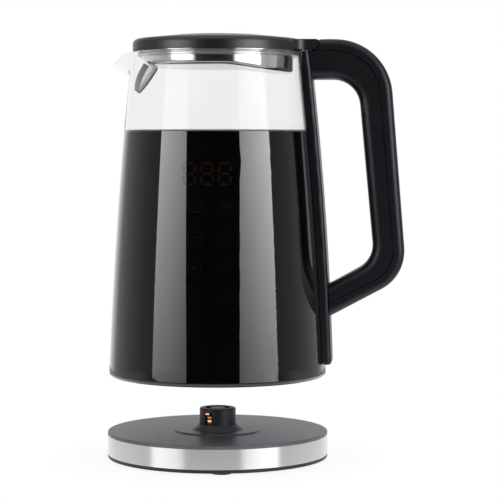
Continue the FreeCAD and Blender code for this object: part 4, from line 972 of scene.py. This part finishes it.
def camera():
    data = bpy.data.cameras.new("camera")
    data.lens = CAMERA_LENS
    data.sensor_width = SENSOR_WIDTH
    item = bpy.data.objects.new("camera", data)
    bpy.context.scene.collection.objects.link(item)
    item.location = RIGHT * CAMERA_SIDE - FORWARD * CAMERA_AWAY + UP * CAMERA_HEIGHT
    aim(item, RIGHT * CAMERA_SIDE + UP * AIM_HEIGHT)
    bpy.context.scene.camera = item


def fade_lamp(data, shares, slant, limit):
    """Let a lamp fall off across its width, downwards and upwards, and cut its inner edge at a slant."""
    data.use_nodes = True
    lamp = Nodes(data.node_tree)
    spot = lamp.add("ShaderNodeNewGeometry").outputs["Parametric"]
    place = lamp.split(spot)
    strength = lamp.maths("GREATER_THAN", lamp.vector("DOT_PRODUCT", spot, slant), limit)
    for axis, fall in (("X", (*shares, 0.0, 1.0)), ("Y", LAMP_FOOT), ("Y", LAMP_HEAD)):
        strength = lamp.maths("MULTIPLY", strength, lamp.spread(place[axis], *fall))
    lamp.link(strength, lamp.tree.nodes["Emission"].inputs["Strength"])


def softbox(name, side_angle, wide, power, colour, shares, slant, limit):
    """A tall soft lamp, placed by its angle to the right of the camera as seen from the kettle."""
    turn = math.radians(side_angle)
    data = bpy.data.lights.new(name, "AREA")
    data.shape = "RECTANGLE"
    data.size = wide
    data.size_y = LAMP_TALL
    data.energy = power
    data.color = colour
    item = bpy.data.objects.new(name, data)
    bpy.context.scene.collection.objects.link(item)
    item.location = (RIGHT * math.sin(turn) - FORWARD * math.cos(turn)) * LAMP_AWAY + UP * LAMP_HEIGHT
    aim(item, UP * LAMP_HEIGHT)
    item.visible_camera = False
    fade_lamp(data, shares, slant, limit)


def floor():
    """White for the camera, with a shadow near the base; duller in reflections, most of all in front."""
    mesh = bmesh.new()
    bmesh.ops.create_circle(mesh, cap_ends=True, segments=FLOOR_SIDES, radius=FLOOR_RADIUS)
    bmesh.ops.translate(mesh, verts=mesh.verts, vec=-FORWARD * FLOOR_FORWARD)
    data = bpy.data.meshes.new("floor")
    mesh.to_mesh(data)
    mesh.free()
    item = bpy.data.objects.new("floor", data)
    bpy.context.scene.collection.objects.link(item)
    finish = Finish("floor", Roughness=0.9, Specular_IOR_Level=0.1)
    finish.colour(grey(0.93), grey(0.95), scale=3.0, detail=2.0)
    path = finish.add("ShaderNodeLightPath").outputs
    away = finish.vector("LENGTH", finish.place())
    front = finish.vector("DOT_PRODUCT", finish.place(), -FORWARD)
    dull = finish.maths("MULTIPLY", finish.spread(away, *DULL_AWAY), finish.spread(front, *DULL_FRONT))
    direct = finish.maths("LESS_THAN", path["Glossy Depth"], NO_BOUNCE)
    white = finish.add("ShaderNodeEmission")
    finish.link(finish.maths("MAXIMUM", dull, direct), white.inputs["Strength"])
    shadow = finish.spread(away, *SHADOW_SHARE)
    lit = finish.maths("MULTIPLY_ADD", path["Is Camera Ray"], shadow, path["Is Diffuse Ray"], use_clamp=True)
    mix = finish.add("ShaderNodeMixShader")
    for source, target in zip((lit, white.outputs[0], finish.shader.outputs[0]), mix.inputs):
        finish.link(source, target)
    finish.link(mix.outputs[0], finish.tree.nodes["Material Output"].inputs["Surface"])
    data.materials.append(finish.material)


def world():
    """White all round for the camera; the kettle itself also sees a dark room behind the camera."""
    space = bpy.data.worlds.new("studio")
    bpy.context.scene.world = space
    space.use_nodes = True
    room = Nodes(space.node_tree)
    place = room.add("ShaderNodeTexCoord").outputs["Generated"]
    path = room.add("ShaderNodeLightPath").outputs
    through = path["Is Transmission Ray"]
    ramp = room.add("ShaderNodeValToRGB")
    while len(ramp.color_ramp.elements) < len(ROOM_TONES):
        ramp.color_ramp.elements.new(0.5)
    for element, (position, value) in zip(ramp.color_ramp.elements, ROOM_TONES):
        element.position = position
        element.color = grey(value)
    front = room.vector("DOT_PRODUCT", place, -FORWARD)
    room.link(room.spread(front, 0.0, 1.0, -1.0, 1.0), ramp.inputs["Fac"])
    lift = room.maths("MULTIPLY_ADD", through, GLASS_LIFT, 1.0)
    walls = room.vector("MINIMUM", room.vector("MULTIPLY", ramp.outputs["Color"], lift), (ROOM_CAP,) * 3)
    ceiling = room.spread(room.vector("DOT_PRODUCT", place, UP), *CEILING)
    direct = room.maths("LESS_THAN", path["Glossy Depth"], NO_BOUNCE)
    white = room.maths("MULTIPLY_ADD", through, direct, path["Is Camera Ray"], use_clamp=True)
    mix = room.add("ShaderNodeMix", data_type="RGBA")
    mix.inputs["B"].default_value = grey(1.0)
    room.link(room.vector("MAXIMUM", walls, ceiling), mix.inputs["A"])
    room.link(white, mix.inputs["Factor"])
    room.link(mix.outputs["Result"], room.tree.nodes["Background"].inputs["Color"])


camera()
world()
floor()
softbox("left_softbox", side_angle=-50.2, wide=0.84, power=12.8, colour=(1.0, 0.995, 0.985),
        shares=(1.15, 0.6), slant=(-1.0, -0.44, 0.0), limit=-1.044)
softbox("right_softbox", side_angle=44.2, wide=0.92, power=19.0, colour=(0.975, 0.965, 1.0),
        shares=(0.5, 1.17), slant=(1.0, -0.31, 0.0), limit=-0.031)
bpy.context.scene.view_settings.view_transform = "Standard"
